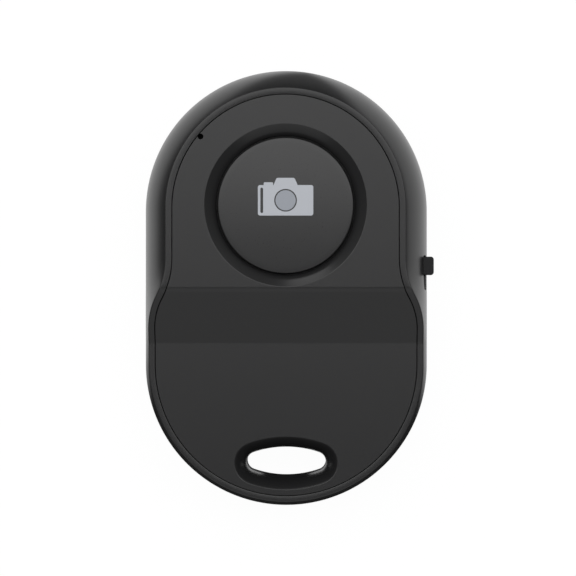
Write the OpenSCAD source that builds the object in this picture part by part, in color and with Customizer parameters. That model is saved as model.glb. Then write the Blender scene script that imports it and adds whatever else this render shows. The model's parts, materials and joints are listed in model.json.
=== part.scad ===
// Pocket remote for a phone camera: a two-shell fob with one large round button,
// a stepped front face, an oval cord slot through the tail, a coin cell under a twist door,
// and a small slide switch at the right side.
// Frame: X across, +Y to the head, +Z out of the front face. The origin is the middle of the back.

/* [Body] */
// Width of the body at its widest line
body_w = 32; // [30:0.5:40]
// Length of the body, head to tail
body_l = 49.4; // [46:0.2:60]
// Height of the head above the back
head_h = 11; // [10.6:0.1:14]
// Height of the tail above the back
tail_h = 7; // [6.4:0.1:8]
// Height of the widest line, where the two shells meet
part_h = 4.5; // [4:0.1:5]
// Thickness of the side walls
wall_t = 1.2; // [0.8:0.1:1.4]
// Thickness of the back
floor_t = 1.2; // [1.1:0.1:1.6]
// How far the back's flat stands inside the widest line
back_inset = 2.6; // [1.6:0.1:3]
// Width of the joining lip on the rear shell
lip_t = 0.6; // [0.4:0.1:0.8]

/* [Front face] */
// How far the head's face stands inside the widest line
face_inset = 2.58; // [2:0.02:3.4]
// Shift of the face towards the head, against the body
face_shift = 0.25; // [0:0.05:0.4]
// Flat left between the button's well and the top of the slope
slope_gap = 0.35; // [0.05:0.05:0.6]
// Length of the slope along the body
slope_l = 6; // [5:0.1:8]
// How far below the head's centre the neck starts
neck_drop = 5.5; // [5:0.1:6.5]
// Length of the neck along the body
neck_l = 8; // [6:0.1:9]
// Width of the shell's rim round the face panel
rim_w = 0.68; // [0.5:0.02:0.9]
// Thickness of the face panel
panel_t = 1; // [0.8:0.1:1.2]
// Thickness of the ledge that carries the panel
ledge_t = 0.8; // [0.6:0.1:1]

/* [Button] */
// Radius of the button cap
cap_r = 7.58; // [6:0.02:8]
// How far the button lies towards the head, from the head's own centre
button_shift = 0.55; // [0:0.05:0.6]
// Radius of the conical well at the face
well_r = 9.1; // [8.6:0.1:10]
// Depth of the conical well
well_d = 1.05; // [0.8:0.05:1.2]
// Depth of the collar under the well
collar_h = 0.75; // [0.6:0.05:0.9]
// How far the middle of the cap lies below the face
cap_drop = 0.3; // [0.1:0.05:0.5]
// How far the cap's middle rises above its edge
crown_h = 0.2; // [0.1:0.05:0.3]
// Thickness of the cap
cap_t = 1.2; // [0.9:0.1:1.4]
// Travel of the button
press_travel = 0.3; // [0.2:0.05:0.4]
// Width of the printed camera mark
mark_w = 6.2; // [4:0.1:8]

/* [Key slot] */
// Length of the slot across the tail
slot_w = 9; // [7:0.1:10]
// Height of the slot along the body
slot_h = 3.35; // [2.8:0.05:4]
// Radius of the slot's ends
slot_end_r = 1.1; // [0.8:0.05:1.3]
// Distance of the slot's centre from the tail's end
slot_edge = 4.9; // [4.6:0.1:6]
// Width of the bevel round the slot at the face
slot_bevel = 1.33; // [0.8:0.01:1.4]
// Wall of the lining round the slot
lining_t = 0.6; // [0.5:0.05:0.8]

/* [Power switch] */
// How far the knob lies below the head's centre
knob_drop = 6.2; // [5.6:0.1:7]
// Length of the knob along the body
knob_l = 2.1; // [1.6:0.1:2.6]
// Thickness of the knob
knob_t = 1; // [0.8:0.05:1.1]
// How far the knob stands out of the widest line
knob_out = 0.7; // [0.4:0.05:0.9]
// Travel of the knob
knob_travel = 1.5; // [1:0.1:2]
// Length of the switch housing
switch_l = 6.7; // [6.2:0.1:7.4]
// Depth of the switch housing across the body
switch_w = 2.6; // [2.2:0.1:3]
// Height of the switch housing
switch_h = 1.4; // [1.3:0.05:1.5]

/* [Battery] */
// Radius of the coin cell
cell_r = 10; // [8:0.1:10]
// Thickness of the coin cell
cell_h = 3.2; // [2.5:0.1:3.4]
// Space for the contact between the cell and the board
contact_h = 0.9; // [0.7:0.05:1]
// Thickness of the contact metal
contact_t = 0.15; // [0.1:0.01:0.2]

/* [Battery door] */
// How far the door lies below the back
door_sink = 0.1; // [0.05:0.05:0.2]
// Thickness of the door's outer plate
door_plate_t = 0.55; // [0.4:0.05:0.6]
// Thickness of the door at the cell
door_t = 1; // [0.95:0.05:1.1]
// Number of bayonet lugs
lug_count = 3; // [2:1:4]
// Angle that each lug covers
lug_angle = 24; // [16:1:26]
// Thickness of a lug
lug_t = 0.6; // [0.5:0.05:0.7]
// Length of the coin slot in the door
coin_slot_l = 12; // [8:0.5:14]
// Width of the coin slot
coin_slot_w = 1.6; // [1.2:0.1:2]
// Depth of the coin slot
coin_slot_d = 0.55; // [0.4:0.05:0.6]
// Twist of the door from locked to free, anticlockwise as seen from behind
door_twist = 40; // [34:1:50]

/* [Circuit board] */
// Thickness of the circuit board
board_t = 0.8; // [0.6:0.1:1]
// How far the board's straight edge lies below the head's centre
board_drop = 12.1; // [11.7:0.1:12.6]
// Side of the push switch under the button
tact_w = 5; // [4.6:0.1:6]
// Height of the push switch with its plunger
tact_h = 1.8; // [1.6:0.05:1.9]
// Radius of the push switch's plunger
plunger_r = 1.2; // [0.9:0.05:1.3]
// Radius of the status lamp's pin-hole
lamp_hole_r = 0.315; // [0.25:0.005:0.4]
// Direction of the pin-hole, from the head's centre
lamp_angle = 140; // [125:1:150]

/* [Fits] */
// Gap at the seam round the face panel
seam_gap = 0.12; // [0.08:0.01:0.2]
// Gap round the button cap
cap_gap = 0.22; // [0.1:0.02:0.3]
// Gap round loose inner pieces
loose_gap = 0.15; // [0.1:0.01:0.2]
// Running gap between pieces that slide on each other
slide_gap = 0.05; // [0.02:0.01:0.08]

/* [Hidden] */

// One overrun for all cuts, in proportion to the body
over = body_w / 64;
// Steps along each half circle that is drawn as an outline
arc_steps = 40;
// Steps along each short arc
short_steps = 8;
$fn = 96;

// Finishes
shell_black = "#3a3a3c";
panel_black = "#434346";
button_black = "#48494c";
mark_grey = "#b4b7bd";
board_green = "#1d4a35";
gold = "#c9a24a";
steel = "#a8abb0";
nickel = "#c9c8c0";
chip_black = "#1e1f22";
knob_black = "#1b1b1d";
ceramic_tan = "#b08a62";
gasket_grey = "#5a5c60";
lamp_white = "#e6e4d0";

// Places along the body
head_y = (body_l - body_w) / 2;
tail_y = -head_y;
face_y = head_y + face_shift;
button_y = head_y + button_shift;
knob_y = head_y - knob_drop;
neck_top_y = head_y - neck_drop;
slope_top_y = button_y - well_r - slope_gap;
slope_end_y = slope_top_y - slope_l;
slot_y = slot_edge - body_l / 2;

// Side curve above the widest line, tangent to the vertical there
rise = head_h - part_h;
side_r = (rise * rise + face_inset * face_inset) / (2 * face_inset);
side_x = body_w / 2 - side_r;
face_r = body_w / 2 - face_inset;

// Back curve below the widest line
back_r = (part_h * part_h + back_inset * back_inset) / (2 * back_inset);
back_x = body_w / 2 - back_r;

// Neck of the face: two equal arcs, bent against each other, limited by the straight flank
neck_sink = wall_t / 8;
neck_skin = neck_sink / 5;
neck_w0 = face_r;
neck_w1 = side_at(tail_h) - neck_sink;
neck_run = min(neck_l, neck_top_y - tail_y - neck_sink);
neck_a = 2 * atan((neck_w1 - neck_w0) / neck_run);
neck_r = neck_run / (2 * sin(neck_a));

// Heights of the stack, from the back: door, coin cell, contact, board and push switch
door_plate_z = door_sink + door_plate_t;
door_floor_z = door_sink + door_t;
lug_z = floor_t + slide_gap;
lug_top_z = lug_z + lug_t;
cell_z = door_floor_z + loose_gap;
cell_top_z = cell_z + cell_h;
board_z = cell_top_z + contact_h;
board_top_z = board_z + board_t;
tact_top_z = board_top_z + tact_h;

// Battery door and the space that it turns in
door_hub_wall = lug_t;
door_hub_r = cell_r + loose_gap + door_hub_wall + slide_gap;
lug_r = door_hub_r + 1.75 * lug_t;
door_r = lug_r + lug_t / 2;
notch_play = 4;
notch_angle = lug_angle + notch_play;
lug_start = 90;
ring_in_r = lug_r + 2 * loose_gap + seam_gap;
ring_t = wall_t * 2 / 3;
rib_z = lug_top_z + loose_gap;
rib_top_z = cell_top_z + contact_h / 3;
rib_w = 0.75 * wall_t;
rib_angles = [30, 150, 210, 330];

// Joining lip of the rear shell
ceiling_tail_z = tail_h - panel_t - ledge_t;
lip_r = body_w / 2 - wall_t - loose_gap;
lip_top_z = min(board_z, ceiling_tail_z) - loose_gap;
lip_root_z = part_h - lip_t * 1.8;
lip_seat_z = part_h - lip_t / 2;

// Board
board_r = body_w / 2 - wall_t - 3 * loose_gap;
ceiling_head_z = head_h - panel_t - ledge_t;
board_edge_y = head_y - board_drop;
switch_x1 = board_r - 1.7 * loose_gap;
switch_x0 = switch_x1 - switch_w;
screw_r = 0.6;
screw_head_r = 1.1;
screw_head_h = 0.5;
screw_hole_r = screw_r + loose_gap;
boss_r = 1.3;
screw_x = switch_x0 - boss_r - 2 * loose_gap;
screw_y = board_edge_y + 2.5 * screw_r;
screw_tip_z = board_top_z + screw_r * 2.5;
stop_r = 1;
stop_angle = 62;
stop_place_r = board_r - 1.8 * stop_r;
stop_x = stop_place_r * cos(stop_angle);
stop_y = head_y + stop_place_r * sin(stop_angle);
tag_w = 0.4;

// Push switch under the button
tact_base_z = board_top_z;
tact_cover_t = 0.2;
tact_cover_z = tact_top_z - press_travel - tact_cover_t - 2 * slide_gap;
tact_floor_t = 0.4;
tact_pit_z = tact_base_z + tact_floor_t;
dome_brim = 0.55;
tact_pit_r = plunger_r + dome_brim + loose_gap;
dome_r = tact_pit_r - loose_gap;
dome_t = 0.08;
dome_rise = 0.42;
dome_ball_r = (dome_r * dome_r + dome_rise * dome_rise) / (2 * dome_rise);
dome_top_z = tact_pit_z + slide_gap / 2 + dome_rise;
plunger_z = dome_top_z + slide_gap / 2;
plunger_flange_t = tact_cover_z - slide_gap - plunger_z;

// Button
cap_z = head_h - cap_drop;
well_z = head_h - well_d;
collar_z = well_z - collar_h;
collar_in_r = cap_r + cap_gap;
collar_t = 1.6;
collar_r = collar_in_r + collar_t;
flange_top_z = collar_z - slide_gap;
flange_t = 0.5;
flange_out = 0.7;
flange_r = collar_in_r + flange_out;
flange_z = flange_top_z - flange_t;
cap_wall = 0.9;
cap_edge_r = 0.15;
cap_under_z = cap_z - cap_t;
stem_z = tact_top_z + slide_gap / 2;
stem_out = 0.4;
stem_r = plunger_r + stem_out;
cap_rib_t = 0.7;
cap_rim_z = cap_z - crown_h;
crown_ball_r = (cap_r * cap_r + crown_h * crown_h) / (2 * crown_h);
crown_ball_z = cap_z - crown_ball_r;
ink_t = 0.03;
mark_lift_share = 0.09;

// Pin-hole of the lamp, on the seam
lamp_place_r = face_r - rim_w - 1.05 * lamp_hole_r;
lamp_x = lamp_place_r * cos(lamp_angle);
lamp_y = face_y + lamp_place_r * sin(lamp_angle);
lamp_l = 1.6;
lamp_w = 0.8;
lamp_h = 0.65;

// Key slot
slot_end_x = slot_w / 2 - slot_end_r;
slot_half = slot_h / 2;
slot_side_r = (slot_end_x * slot_end_x / (slot_half - slot_end_r) + slot_end_r + slot_half) / 2;
slot_turn = atan2(slot_side_r - slot_half, slot_end_x);
slot_mid_z = tail_h / 2;
slot_shoulder = 0.3 * slot_bevel;
slot_back_bevel = floor_t / 3;
lining_z = slot_mid_z - lining_t;
lining_grow = slot_shoulder + (slot_bevel - slot_shoulder) * (slot_bevel - panel_t) / slot_bevel + lining_t;
slot_boss_t = lining_t + loose_gap;

// Power switch
switch_y = knob_y - knob_travel / 2;
knob_z = board_top_z + (switch_h - knob_t) / 2;
switch_t = 0.15;
switch_base_t = 0.4;
switch_base_z = board_top_z;
switch_top_z = board_top_z + switch_h;
knob_x1 = body_w / 2 + knob_out;
knob_x0 = switch_x1 + 1.5 * loose_gap;
knob_round = 0.35;
stem_w = 1.3;
stem_t = 0.55;
stem_mid_z = knob_z + knob_t / 2;
slider_shoulder = 0.7;
slider_l = stem_w + 2 * slider_shoulder;
slider_x0 = switch_x0 + switch_w / 4;
slider_x1 = switch_x1 - switch_t - slide_gap;
wiper_t = 0.08;
slider_z = switch_base_z + switch_base_t + slide_gap + wiper_t;
slider_top_z = switch_top_z - switch_t - slide_gap;

// Coin cell
can_t = 0.25;
gasket_t = 0.25;
lid_step = 1.2;
lid_r = cell_r - lid_step;
lid_rise = 0.3;
rim_z = cell_top_z - lid_rise - gasket_t;
pellet_r = lid_r - can_t - gasket_t;
cathode_share = 0.55;
cathode_h = cathode_share * (cell_h - 2 * can_t);

// Contacts
strip_w = 2.4;
strip_l = 10;
strip_flat = 3;
strip_foot = 1.6;
clip_w = 4;
clip_foot = 1.6;

// Small parts on the board
part_pin_t = 0.15;
trace_t = 0.035;
trace_w = 0.3;
trace_pitch = 0.75;
trace_turns = 5;
trace_h = 2.2;
trace_place_share = -0.39;
trace_x = trace_place_share * board_r;
trace_y = board_edge_y + trace_w;
low_row_y = trace_y + trace_h + trace_w;
radio_w = 4;
radio_h = 0.85;
radio_x = trace_x;
radio_y = low_row_y + radio_w / 2 + part_pin_t;
memory_l = 4.9;
memory_w = 2.6;
memory_h = 0.95;
memory_place_share = 0.2;
memory_x = memory_place_share * board_r;
memory_y = low_row_y + memory_w * 3 / 4;
chip_l = 1.6;
chip_w = 0.8;
chip_h = 0.7;
chip_cap_l = 0.3;
resistor_h = 0.4;
crystal_l = 3.2;
crystal_w = 2.5;
crystal_h = 0.7;
crystal_x = radio_x - radio_w / 2 - 2 * chip_w - crystal_w / 2;
crystal_y = radio_y;
// Places of the low small parts, across, along and turn, beside the two chips
low_capacitors = [[radio_x - radio_w / 2 - chip_w, radio_y, 90],
    [radio_x, radio_y + radio_w / 2 + chip_w + part_pin_t, 0],
    [memory_x + memory_l / 2 + chip_w, memory_y, 90]];
low_resistors = [[radio_x + radio_w / 2 + chip_w, radio_y, 90],
    [memory_x, memory_y + memory_w / 2 + 2 * chip_w, 0]];
// The same for the high ones, as shares of the board's radius from the head's centre
high_capacitor_shares = [[0.627, 0.4, 90], [-0.348, 0.51, 0], [0.07, 0.83, 0]];
high_resistor_shares = [[0.53, 0.56, 90], [-0.53, 0.45, 90]];

// Half width of the body at a height above the widest line
function side_at(z) = side_x + sqrt(side_r * side_r - (z - part_h) * (z - part_h));

// Points along an arc, from angle a0 to angle a1
function arc(cx, cy, r, a0, a1, steps) =
    [for (i = [0:steps]) let (a = a0 + (a1 - a0) * i / steps) [cx + r * cos(a), cy + r * sin(a)]];

// Right side of the neck, drawn in by an inset
function neck_side(inset) = concat(
    arc(neck_w0 + neck_r, neck_top_y, neck_r + inset, 180, 180 + neck_a, short_steps),
    arc(neck_w1 - neck_r, neck_top_y - neck_run, neck_r - inset, neck_a, 0, short_steps));

// The same points on the left, in the other order
function mirrored(points) = [for (i = [len(points) - 1:-1:0]) [-points[i][0], points[i][1]]];

// Right half of the face's outline below the head
function tail_half(inset) = concat(neck_side(inset), arc(0, tail_y, neck_w1 - inset, 0, -90, arc_steps / 2));

// Right half of the face's outline, from the head's top to the tail's end
function face_half(inset) = concat(arc(0, face_y, face_r - inset, 90, 0, arc_steps / 2), tail_half(inset));

// Outline of the key slot, grown outwards
function slot_points(grow) = concat(
    arc(slot_end_x, 0, slot_end_r + grow, -slot_turn, slot_turn, short_steps),
    arc(0, slot_half - slot_side_r, slot_side_r + grow, slot_turn, 180 - slot_turn, short_steps),
    arc(-slot_end_x, 0, slot_end_r + grow, 180 - slot_turn, 180 + slot_turn, short_steps),
    arc(0, slot_side_r - slot_half, slot_side_r + grow, 180 + slot_turn, 360 - slot_turn, short_steps));

// A section swept round the body's outline: two half turns and a straight run between them
module round_body() {
    for (end = [0, 180])
        rotate([0, 0, end]) translate([0, head_y, 0]) rotate_extrude(angle = 180) children();
    translate([0, head_y, 0]) rotate([90, 0, 0]) linear_extrude(2 * head_y) {
        children();
        mirror([1, 0]) children();
    }
}

// Section of the front above the widest line, its side drawn in by an inset
module front_section(inset, low) {
    high = head_h + over;
    intersection() {
        translate([side_x, part_h]) circle(side_r - inset);
        translate([side_x, low]) square([side_r, high - low]);
    }
    translate([0, low]) square([side_x, high - low]);
}

// Section of the rear below the widest line
module rear_section(inset, low, high) {
    intersection() {
        translate([back_x, part_h]) circle(back_r - inset);
        translate([back_x, low]) square([back_r, high - low]);
    }
    translate([0, low]) square([back_x, high - low]);
}

// Band that follows the face, between two depths under it
module face_band(depth_top, depth_bottom) {
    top = [[-body_l, tail_h - depth_top], [slope_end_y, tail_h - depth_top],
        [slope_top_y, head_h - depth_top], [body_l, head_h - depth_top]];
    bottom = [[body_l, head_h - depth_bottom], [slope_top_y, head_h - depth_bottom],
        [slope_end_y, tail_h - depth_bottom], [-body_l, tail_h - depth_bottom]];
    translate([-body_w, 0, 0]) rotate([90, 0, 90]) linear_extrude(2 * body_w)
        polygon(concat(top, bottom));
}

// Prism of the face's outline, drawn in by an inset
module face_prism(inset) {
    linear_extrude(head_h + over) polygon(concat(face_half(inset), mirrored(face_half(inset))));
}

// Prism of the key slot's outline
module slot_prism(grow, low, high) {
    translate([0, slot_y, low]) linear_extrude(high - low) polygon(slot_points(grow));
}

// Flare of the key slot between two heights
module slot_flare(grow_low, low, grow_high, high) {
    skin = over / 100;
    hull() {
        slot_prism(grow_low, low, low + skin);
        slot_prism(grow_high, high - skin, high);
    }
}

// Everything that the cord slot takes away
module slot_cut() {
    slot_prism(0, -over, tail_h + over);
    slot_flare(0, slot_mid_z, slot_shoulder, tail_h - slot_bevel);
    slot_flare(slot_shoulder, tail_h - slot_bevel, slot_bevel, tail_h + slot_bevel / 50);
    slot_flare(slot_back_bevel, -slot_back_bevel / 50, 0, slot_back_bevel);
}

// Pin-hole of the status lamp
module lamp_hole() {
    translate([lamp_x, lamp_y, board_top_z]) cylinder(h = head_h, r = lamp_hole_r);
}

// Block that the neck adds outside the side curve
module neck_block() {
    translate([0, 0, part_h]) linear_extrude(head_h + over - part_h)
        polygon(concat(tail_half(neck_skin), mirrored(tail_half(neck_skin))));
}

// Gate in the side wall that the knob runs in
module knob_gate() {
    translate([switch_x1, knob_y - knob_travel - knob_l / 2 - loose_gap, knob_z - loose_gap])
        cube([body_w, knob_travel + knob_l + 2 * loose_gap, knob_t + 2 * loose_gap]);
}

// Posts and bosses between the ceiling and the board
module front_posts() {
    post_h = ceiling_head_z + ledge_t / 2 - board_top_z;
    for (side = [-1, 1]) {
        translate([side * screw_x, screw_y, board_top_z]) cylinder(h = post_h, r = boss_r);
        translate([side * stop_x, stop_y, board_top_z]) cylinder(h = post_h, r = stop_r);
    }
}

module front_shell() {
    color(shell_black) difference() {
        union() {
            difference() {
                union() {
                    round_body() front_section(0, part_h);
                    neck_block();
                }
                difference() {
                    round_body() front_section(wall_t, part_h - over);
                    face_band(-body_w, panel_t + ledge_t);
                }
            }
            front_posts();
        }
        face_band(-body_w, 0);
        intersection() {
            face_prism(rim_w);
            face_band(-over, panel_t);
        }
        translate([0, button_y, part_h]) cylinder(h = head_h, r = collar_r + loose_gap);
        slot_prism(lining_grow + loose_gap, part_h - over, tail_h);
        lamp_hole();
        for (side = [-1, 1])
            translate([side * screw_x, screw_y, board_top_z - over])
                cylinder(h = screw_tip_z + 2 * over - board_top_z, r = screw_r + slide_gap / 2);
        knob_gate();
    }
}

module face_panel() {
    color(panel_black) difference() {
        union() {
            intersection() {
                face_prism(rim_w + seam_gap);
                face_band(0, panel_t);
            }
            translate([0, button_y, collar_z])
                cylinder(h = head_h - panel_t / 2 - collar_z, r = collar_r);
            slot_prism(lining_grow, lining_z, tail_h - panel_t / 2);
        }
        translate([0, button_y, 0]) rotate_extrude()
            polygon([[0, part_h], [collar_in_r, part_h], [collar_in_r, well_z],
                [well_r, head_h], [well_r, head_h + over], [0, head_h + over]]);
        slot_cut();
        lamp_hole();
    }
}

// Section of the joining lip
module lip_section() {
    inner = lip_r - lip_t;
    polygon([[inner, lip_root_z], [body_w / 2 - wall_t / 2, lip_root_z],
        [body_w / 2 - wall_t / 2, lip_seat_z], [lip_r, lip_seat_z],
        [lip_r, lip_top_z], [inner, lip_top_z]]);
}

// Rings, ribs and boss inside the rear shell
module rear_inside() {
    round_body() lip_section();
    translate([0, head_y, floor_t / 2]) difference() {
        cylinder(h = board_z - floor_t / 2, r = ring_in_r + ring_t);
        translate([0, 0, -over]) cylinder(h = board_z + 2 * over, r = ring_in_r);
    }
    for (a = rib_angles)
        translate([0, head_y, rib_z]) rotate([0, 0, a])
            translate([cell_r + loose_gap, -rib_w / 2, 0])
                cube([ring_in_r + ring_t / 2 - cell_r - loose_gap, rib_w, rib_top_z - rib_z]);
    slot_prism(slot_boss_t, floor_t / 2, lining_z - slide_gap);
}

// Outline of the bayonet lugs, or of the gates that they pass through
module lug_outline(r_in, r_out, angle, turn) {
    for (k = [0:lug_count - 1]) {
        mid = lug_start + turn + 360 * k / lug_count;
        polygon(concat(arc(0, 0, r_out, mid - angle / 2, mid + angle / 2, short_steps),
            arc(0, 0, r_in, mid + angle / 2, mid - angle / 2, short_steps)));
    }
}

// Opening for the battery door, with the gates that its lugs pass through
module door_opening() {
    translate([0, head_y, 0]) {
        translate([0, 0, -over]) cylinder(h = door_plate_z + slide_gap / 2 + over, r = door_r + loose_gap);
        translate([0, 0, -over]) cylinder(h = floor_t + 2 * over, r = door_hub_r + loose_gap);
        translate([0, 0, door_sink]) linear_extrude(floor_t + over)
            lug_outline(cell_r, lug_r + loose_gap, notch_angle, -door_twist);
    }
}

module rear_shell() {
    color(shell_black) difference() {
        union() {
            difference() {
                round_body() rear_section(0, 0, part_h);
                round_body() rear_section(wall_t, floor_t, part_h + over);
            }
            rear_inside();
        }
        door_opening();
        slot_cut();
    }
}

module battery_door() {
    coin_ball_r = (coin_slot_l * coin_slot_l / 4 + coin_slot_d * coin_slot_d) / (2 * coin_slot_d);
    color(shell_black) translate([0, head_y, 0]) difference() {
        union() {
            translate([0, 0, door_sink]) cylinder(h = door_plate_t, r = door_r);
            translate([0, 0, door_sink + door_plate_t / 2])
                cylinder(h = lug_top_z - door_sink - door_plate_t / 2, r = door_hub_r);
            translate([0, 0, lug_z]) linear_extrude(lug_t)
                lug_outline(door_hub_r - door_hub_wall / 2, lug_r, lug_angle, 0);
        }
        translate([0, 0, door_floor_z]) cylinder(h = lug_top_z, r = door_hub_r - door_hub_wall);
        translate([0, coin_slot_w / 2, door_sink + coin_slot_d - coin_ball_r]) rotate([90, 0, 0])
            cylinder(h = coin_slot_w, r = coin_ball_r, $fn = 8 * $fn);
    }
}

// Section of the button, with its crowned top, flange and hollow underside
module button_section() {
    inner = cap_r - cap_wall;
    rise = cap_edge_r + crown_h;
    intersection() {
        union() {
            polygon([[0, cap_under_z], [inner, cap_under_z], [inner, flange_z], [flange_r, flange_z],
                [flange_r, flange_top_z], [cap_r, flange_top_z], [cap_r, cap_rim_z - cap_edge_r],
                [cap_r - cap_edge_r - rise, cap_rim_z + rise], [0, cap_rim_z + rise]]);
            translate([0, stem_z]) square([stem_r, cap_under_z + cap_t / 2 - stem_z]);
        }
        translate([0, crown_ball_z]) circle(crown_ball_r, $fn = 8 * $fn);
    }
}

module shutter_button() {
    color(button_black) {
        translate([0, button_y, 0]) rotate_extrude() button_section();
        difference() {
            for (a = [0, 90])
                translate([0, button_y, flange_z]) rotate([0, 0, a])
                    translate([-cap_r + cap_wall / 2, -cap_rib_t / 2, 0])
                        cube([2 * cap_r - cap_wall, cap_rib_t, cap_under_z + cap_t / 4 - flange_z]);
            translate([0, button_y, 0]) cylinder(h = cap_z, r = stem_r - slide_gap);
        }
    }
}

// Plain camera pictogram: a box with a hump, a shutter bump, a lens ring and a grip line
module mark_outline() {
    unit_w = mark_w;
    body_share = [1, 0.55];
    hump_share = [0.35, 0.13];
    bump_share = [0.17, 0.05];
    lens_share = 0.205;
    ring_share = 0.03;
    grip_share = [0.035, 0.46];
    corner_share = 0.04;
    bump_place_share = -0.31;
    grip_place_share = -0.43;
    body_top = unit_w * body_share[1] / 2;
    difference() {
        union() {
            rounded_plate(unit_w * body_share[0], unit_w * body_share[1], unit_w * corner_share);
            translate([0, body_top])
                rounded_plate(unit_w * hump_share[0], 2 * unit_w * hump_share[1], unit_w * corner_share);
            translate([unit_w * bump_place_share, body_top])
                rounded_plate(unit_w * bump_share[0], 2 * unit_w * bump_share[1], unit_w * corner_share / 2);
        }
        difference() {
            circle(unit_w * lens_share);
            circle(unit_w * (lens_share - ring_share));
        }
        translate([unit_w * grip_place_share, 0])
            square([unit_w * grip_share[0], unit_w * grip_share[1]], center = true);
    }
}

// Rectangle with rounded corners, about its centre
module rounded_plate(w, h, r) {
    corners = [[w / 2 - r, h / 2 - r, 0], [r - w / 2, h / 2 - r, 90], [r - w / 2, r - h / 2, 180],
        [w / 2 - r, r - h / 2, 270]];
    polygon([for (c = corners) each arc(c[0], c[1], r, c[2], c[2] + 90, short_steps / 2)]);
}

module camera_mark() {
    mark_y = button_y + mark_w * mark_lift_share;
    color(mark_grey) intersection() {
        translate([0, mark_y, cap_under_z]) linear_extrude(head_h - cap_under_z) mark_outline();
        translate([0, button_y, 0]) rotate_extrude() difference() {
            translate([0, cap_under_z]) square([cap_r, head_h - cap_under_z]);
            translate([0, crown_ball_z]) circle(crown_ball_r, $fn = 8 * $fn);
            difference() {
                translate([0, cap_under_z - over]) square([2 * cap_r, head_h]);
                translate([0, crown_ball_z]) circle(crown_ball_r + ink_t, $fn = 8 * $fn);
            }
        }
    }
}

// Board with a round head and a straight edge, inside the body's own outline
module circuit_board() {
    outline = concat(arc(0, head_y, board_r, 0, 180, arc_steps),
        arc(0, tail_y, board_r, 180, 360, arc_steps));
    color(board_green) translate([0, 0, board_z]) difference() {
        linear_extrude(board_t) polygon(outline);
        translate([-body_w / 2, board_edge_y - body_l, -over]) cube([body_w, body_l, board_t + 2 * over]);
        for (side = [-1, 1])
            translate([side * screw_x, screw_y, -over]) cylinder(h = board_t + 2 * over, r = screw_hole_r);
    }
}

module board_screws() {
    cross_w = screw_head_r / 4;
    color(steel) for (side = [-1, 1])
        translate([side * screw_x, screw_y, 0]) difference() {
            union() {
                translate([0, 0, board_z - screw_head_h]) cylinder(h = screw_head_h, r = screw_head_r);
                translate([0, 0, board_z - screw_head_h / 2])
                    cylinder(h = screw_tip_z - board_z + screw_head_h / 2, r = screw_r);
            }
            for (a = [0, 90])
                translate([0, 0, board_z - screw_head_h]) rotate([0, 0, a])
                    cube([screw_head_r * 1.3, cross_w, screw_head_h], center = true);
        }
}

// Printed aerial: a strip that runs to and fro
module antenna_trace() {
    color(gold) translate([trace_x, trace_y, board_top_z]) linear_extrude(trace_t) union() {
        for (k = [0:trace_turns * 2])
            translate([k * trace_pitch, 0]) square([trace_w, trace_h]);
        for (k = [0:trace_turns * 2 - 1])
            translate([k * trace_pitch, (k % 2) * (trace_h - trace_w)])
                square([trace_pitch + trace_w, trace_w]);
    }
}

// A moulded chip with a dot at its first pin
module chip_body(l, w, h) {
    dot_r = w / 12;
    difference() {
        translate([-l / 2, -w / 2, part_pin_t]) cube([l, w, h - part_pin_t]);
        translate([3 * dot_r - l / 2, 3 * dot_r - w / 2, h - dot_r / 3]) cylinder(h = h, r = dot_r);
    }
}

module radio_chip() {
    pads = 6;
    color(chip_black) translate([radio_x, radio_y, board_top_z]) {
        chip_body(radio_w, radio_w, radio_h);
        for (turn = [0:3], k = [1:pads])
            rotate([0, 0, 90 * turn])
                translate([radio_w * (k / (pads + 1) - 1 / 2) - part_pin_t, radio_w / 2 - 2 * part_pin_t, 0])
                    cube([2 * part_pin_t, 3 * part_pin_t, 2 * part_pin_t]);
    }
}

module memory_chip() {
    pins = 4;
    pin_l = memory_w / 4;
    color(chip_black) translate([memory_x, memory_y, board_top_z]) {
        chip_body(memory_l, memory_w, memory_h);
        for (side = [-1, 1], k = [1:pins])
            translate([memory_l * (k - (pins + 1) / 2) / pins, side * (memory_w / 2 + pin_l / 4), part_pin_t])
                cube([2 * part_pin_t, pin_l, 2 * part_pin_t], center = true);
    }
}

module crystal() {
    rim = crystal_w / 10;
    color(nickel) translate([crystal_x, crystal_y, board_top_z]) {
        translate([-crystal_w / 2, -crystal_l / 2, 0]) cube([crystal_w, crystal_l, crystal_h / 2]);
        translate([rim - crystal_w / 2, rim - crystal_l / 2, crystal_h / 4])
            cube([crystal_w - 2 * rim, crystal_l - 2 * rim, crystal_h * 3 / 4]);
    }
}

// A small two-ended part, its caps a little thicker than its body
module chip_part(h) {
    swell = chip_cap_l / 10;
    translate([-chip_l / 2 + chip_cap_l / 2, swell - chip_w / 2, swell])
        cube([chip_l - chip_cap_l, chip_w - 2 * swell, h - 2 * swell]);
    for (side = [-1, 1])
        translate([side * (chip_l - chip_cap_l) / 2 - chip_cap_l / 2, -chip_w / 2, 0])
            cube([chip_cap_l, chip_w, h]);
}

// Puts small parts on the board, at places in multiples of a unit from a start along the body
module placed(places, unit, start_y) {
    for (p = places)
        translate([p[0] * unit, start_y + p[1] * unit, board_top_z]) rotate([0, 0, p[2]]) children();
}

module capacitors() {
    color(ceramic_tan) {
        placed(low_capacitors, 1, 0) chip_part(chip_h);
        placed(high_capacitor_shares, board_r, head_y) chip_part(chip_h);
    }
}

module resistors() {
    color(chip_black) {
        placed(low_resistors, 1, 0) chip_part(resistor_h);
        placed(high_resistor_shares, board_r, head_y) chip_part(resistor_h);
    }
}

module status_lamp() {
    color(lamp_white) translate([lamp_x, lamp_y, board_top_z]) rotate([0, 0, lamp_angle + 90]) {
        translate([-lamp_l / 2, -lamp_w / 2, 0]) cube([lamp_l, lamp_w, lamp_h / 2]);
        translate([-lamp_l / 3, -lamp_w / 2, lamp_h / 4]) cube([lamp_l * 2 / 3, lamp_w, lamp_h * 3 / 4]);
    }
}

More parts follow.
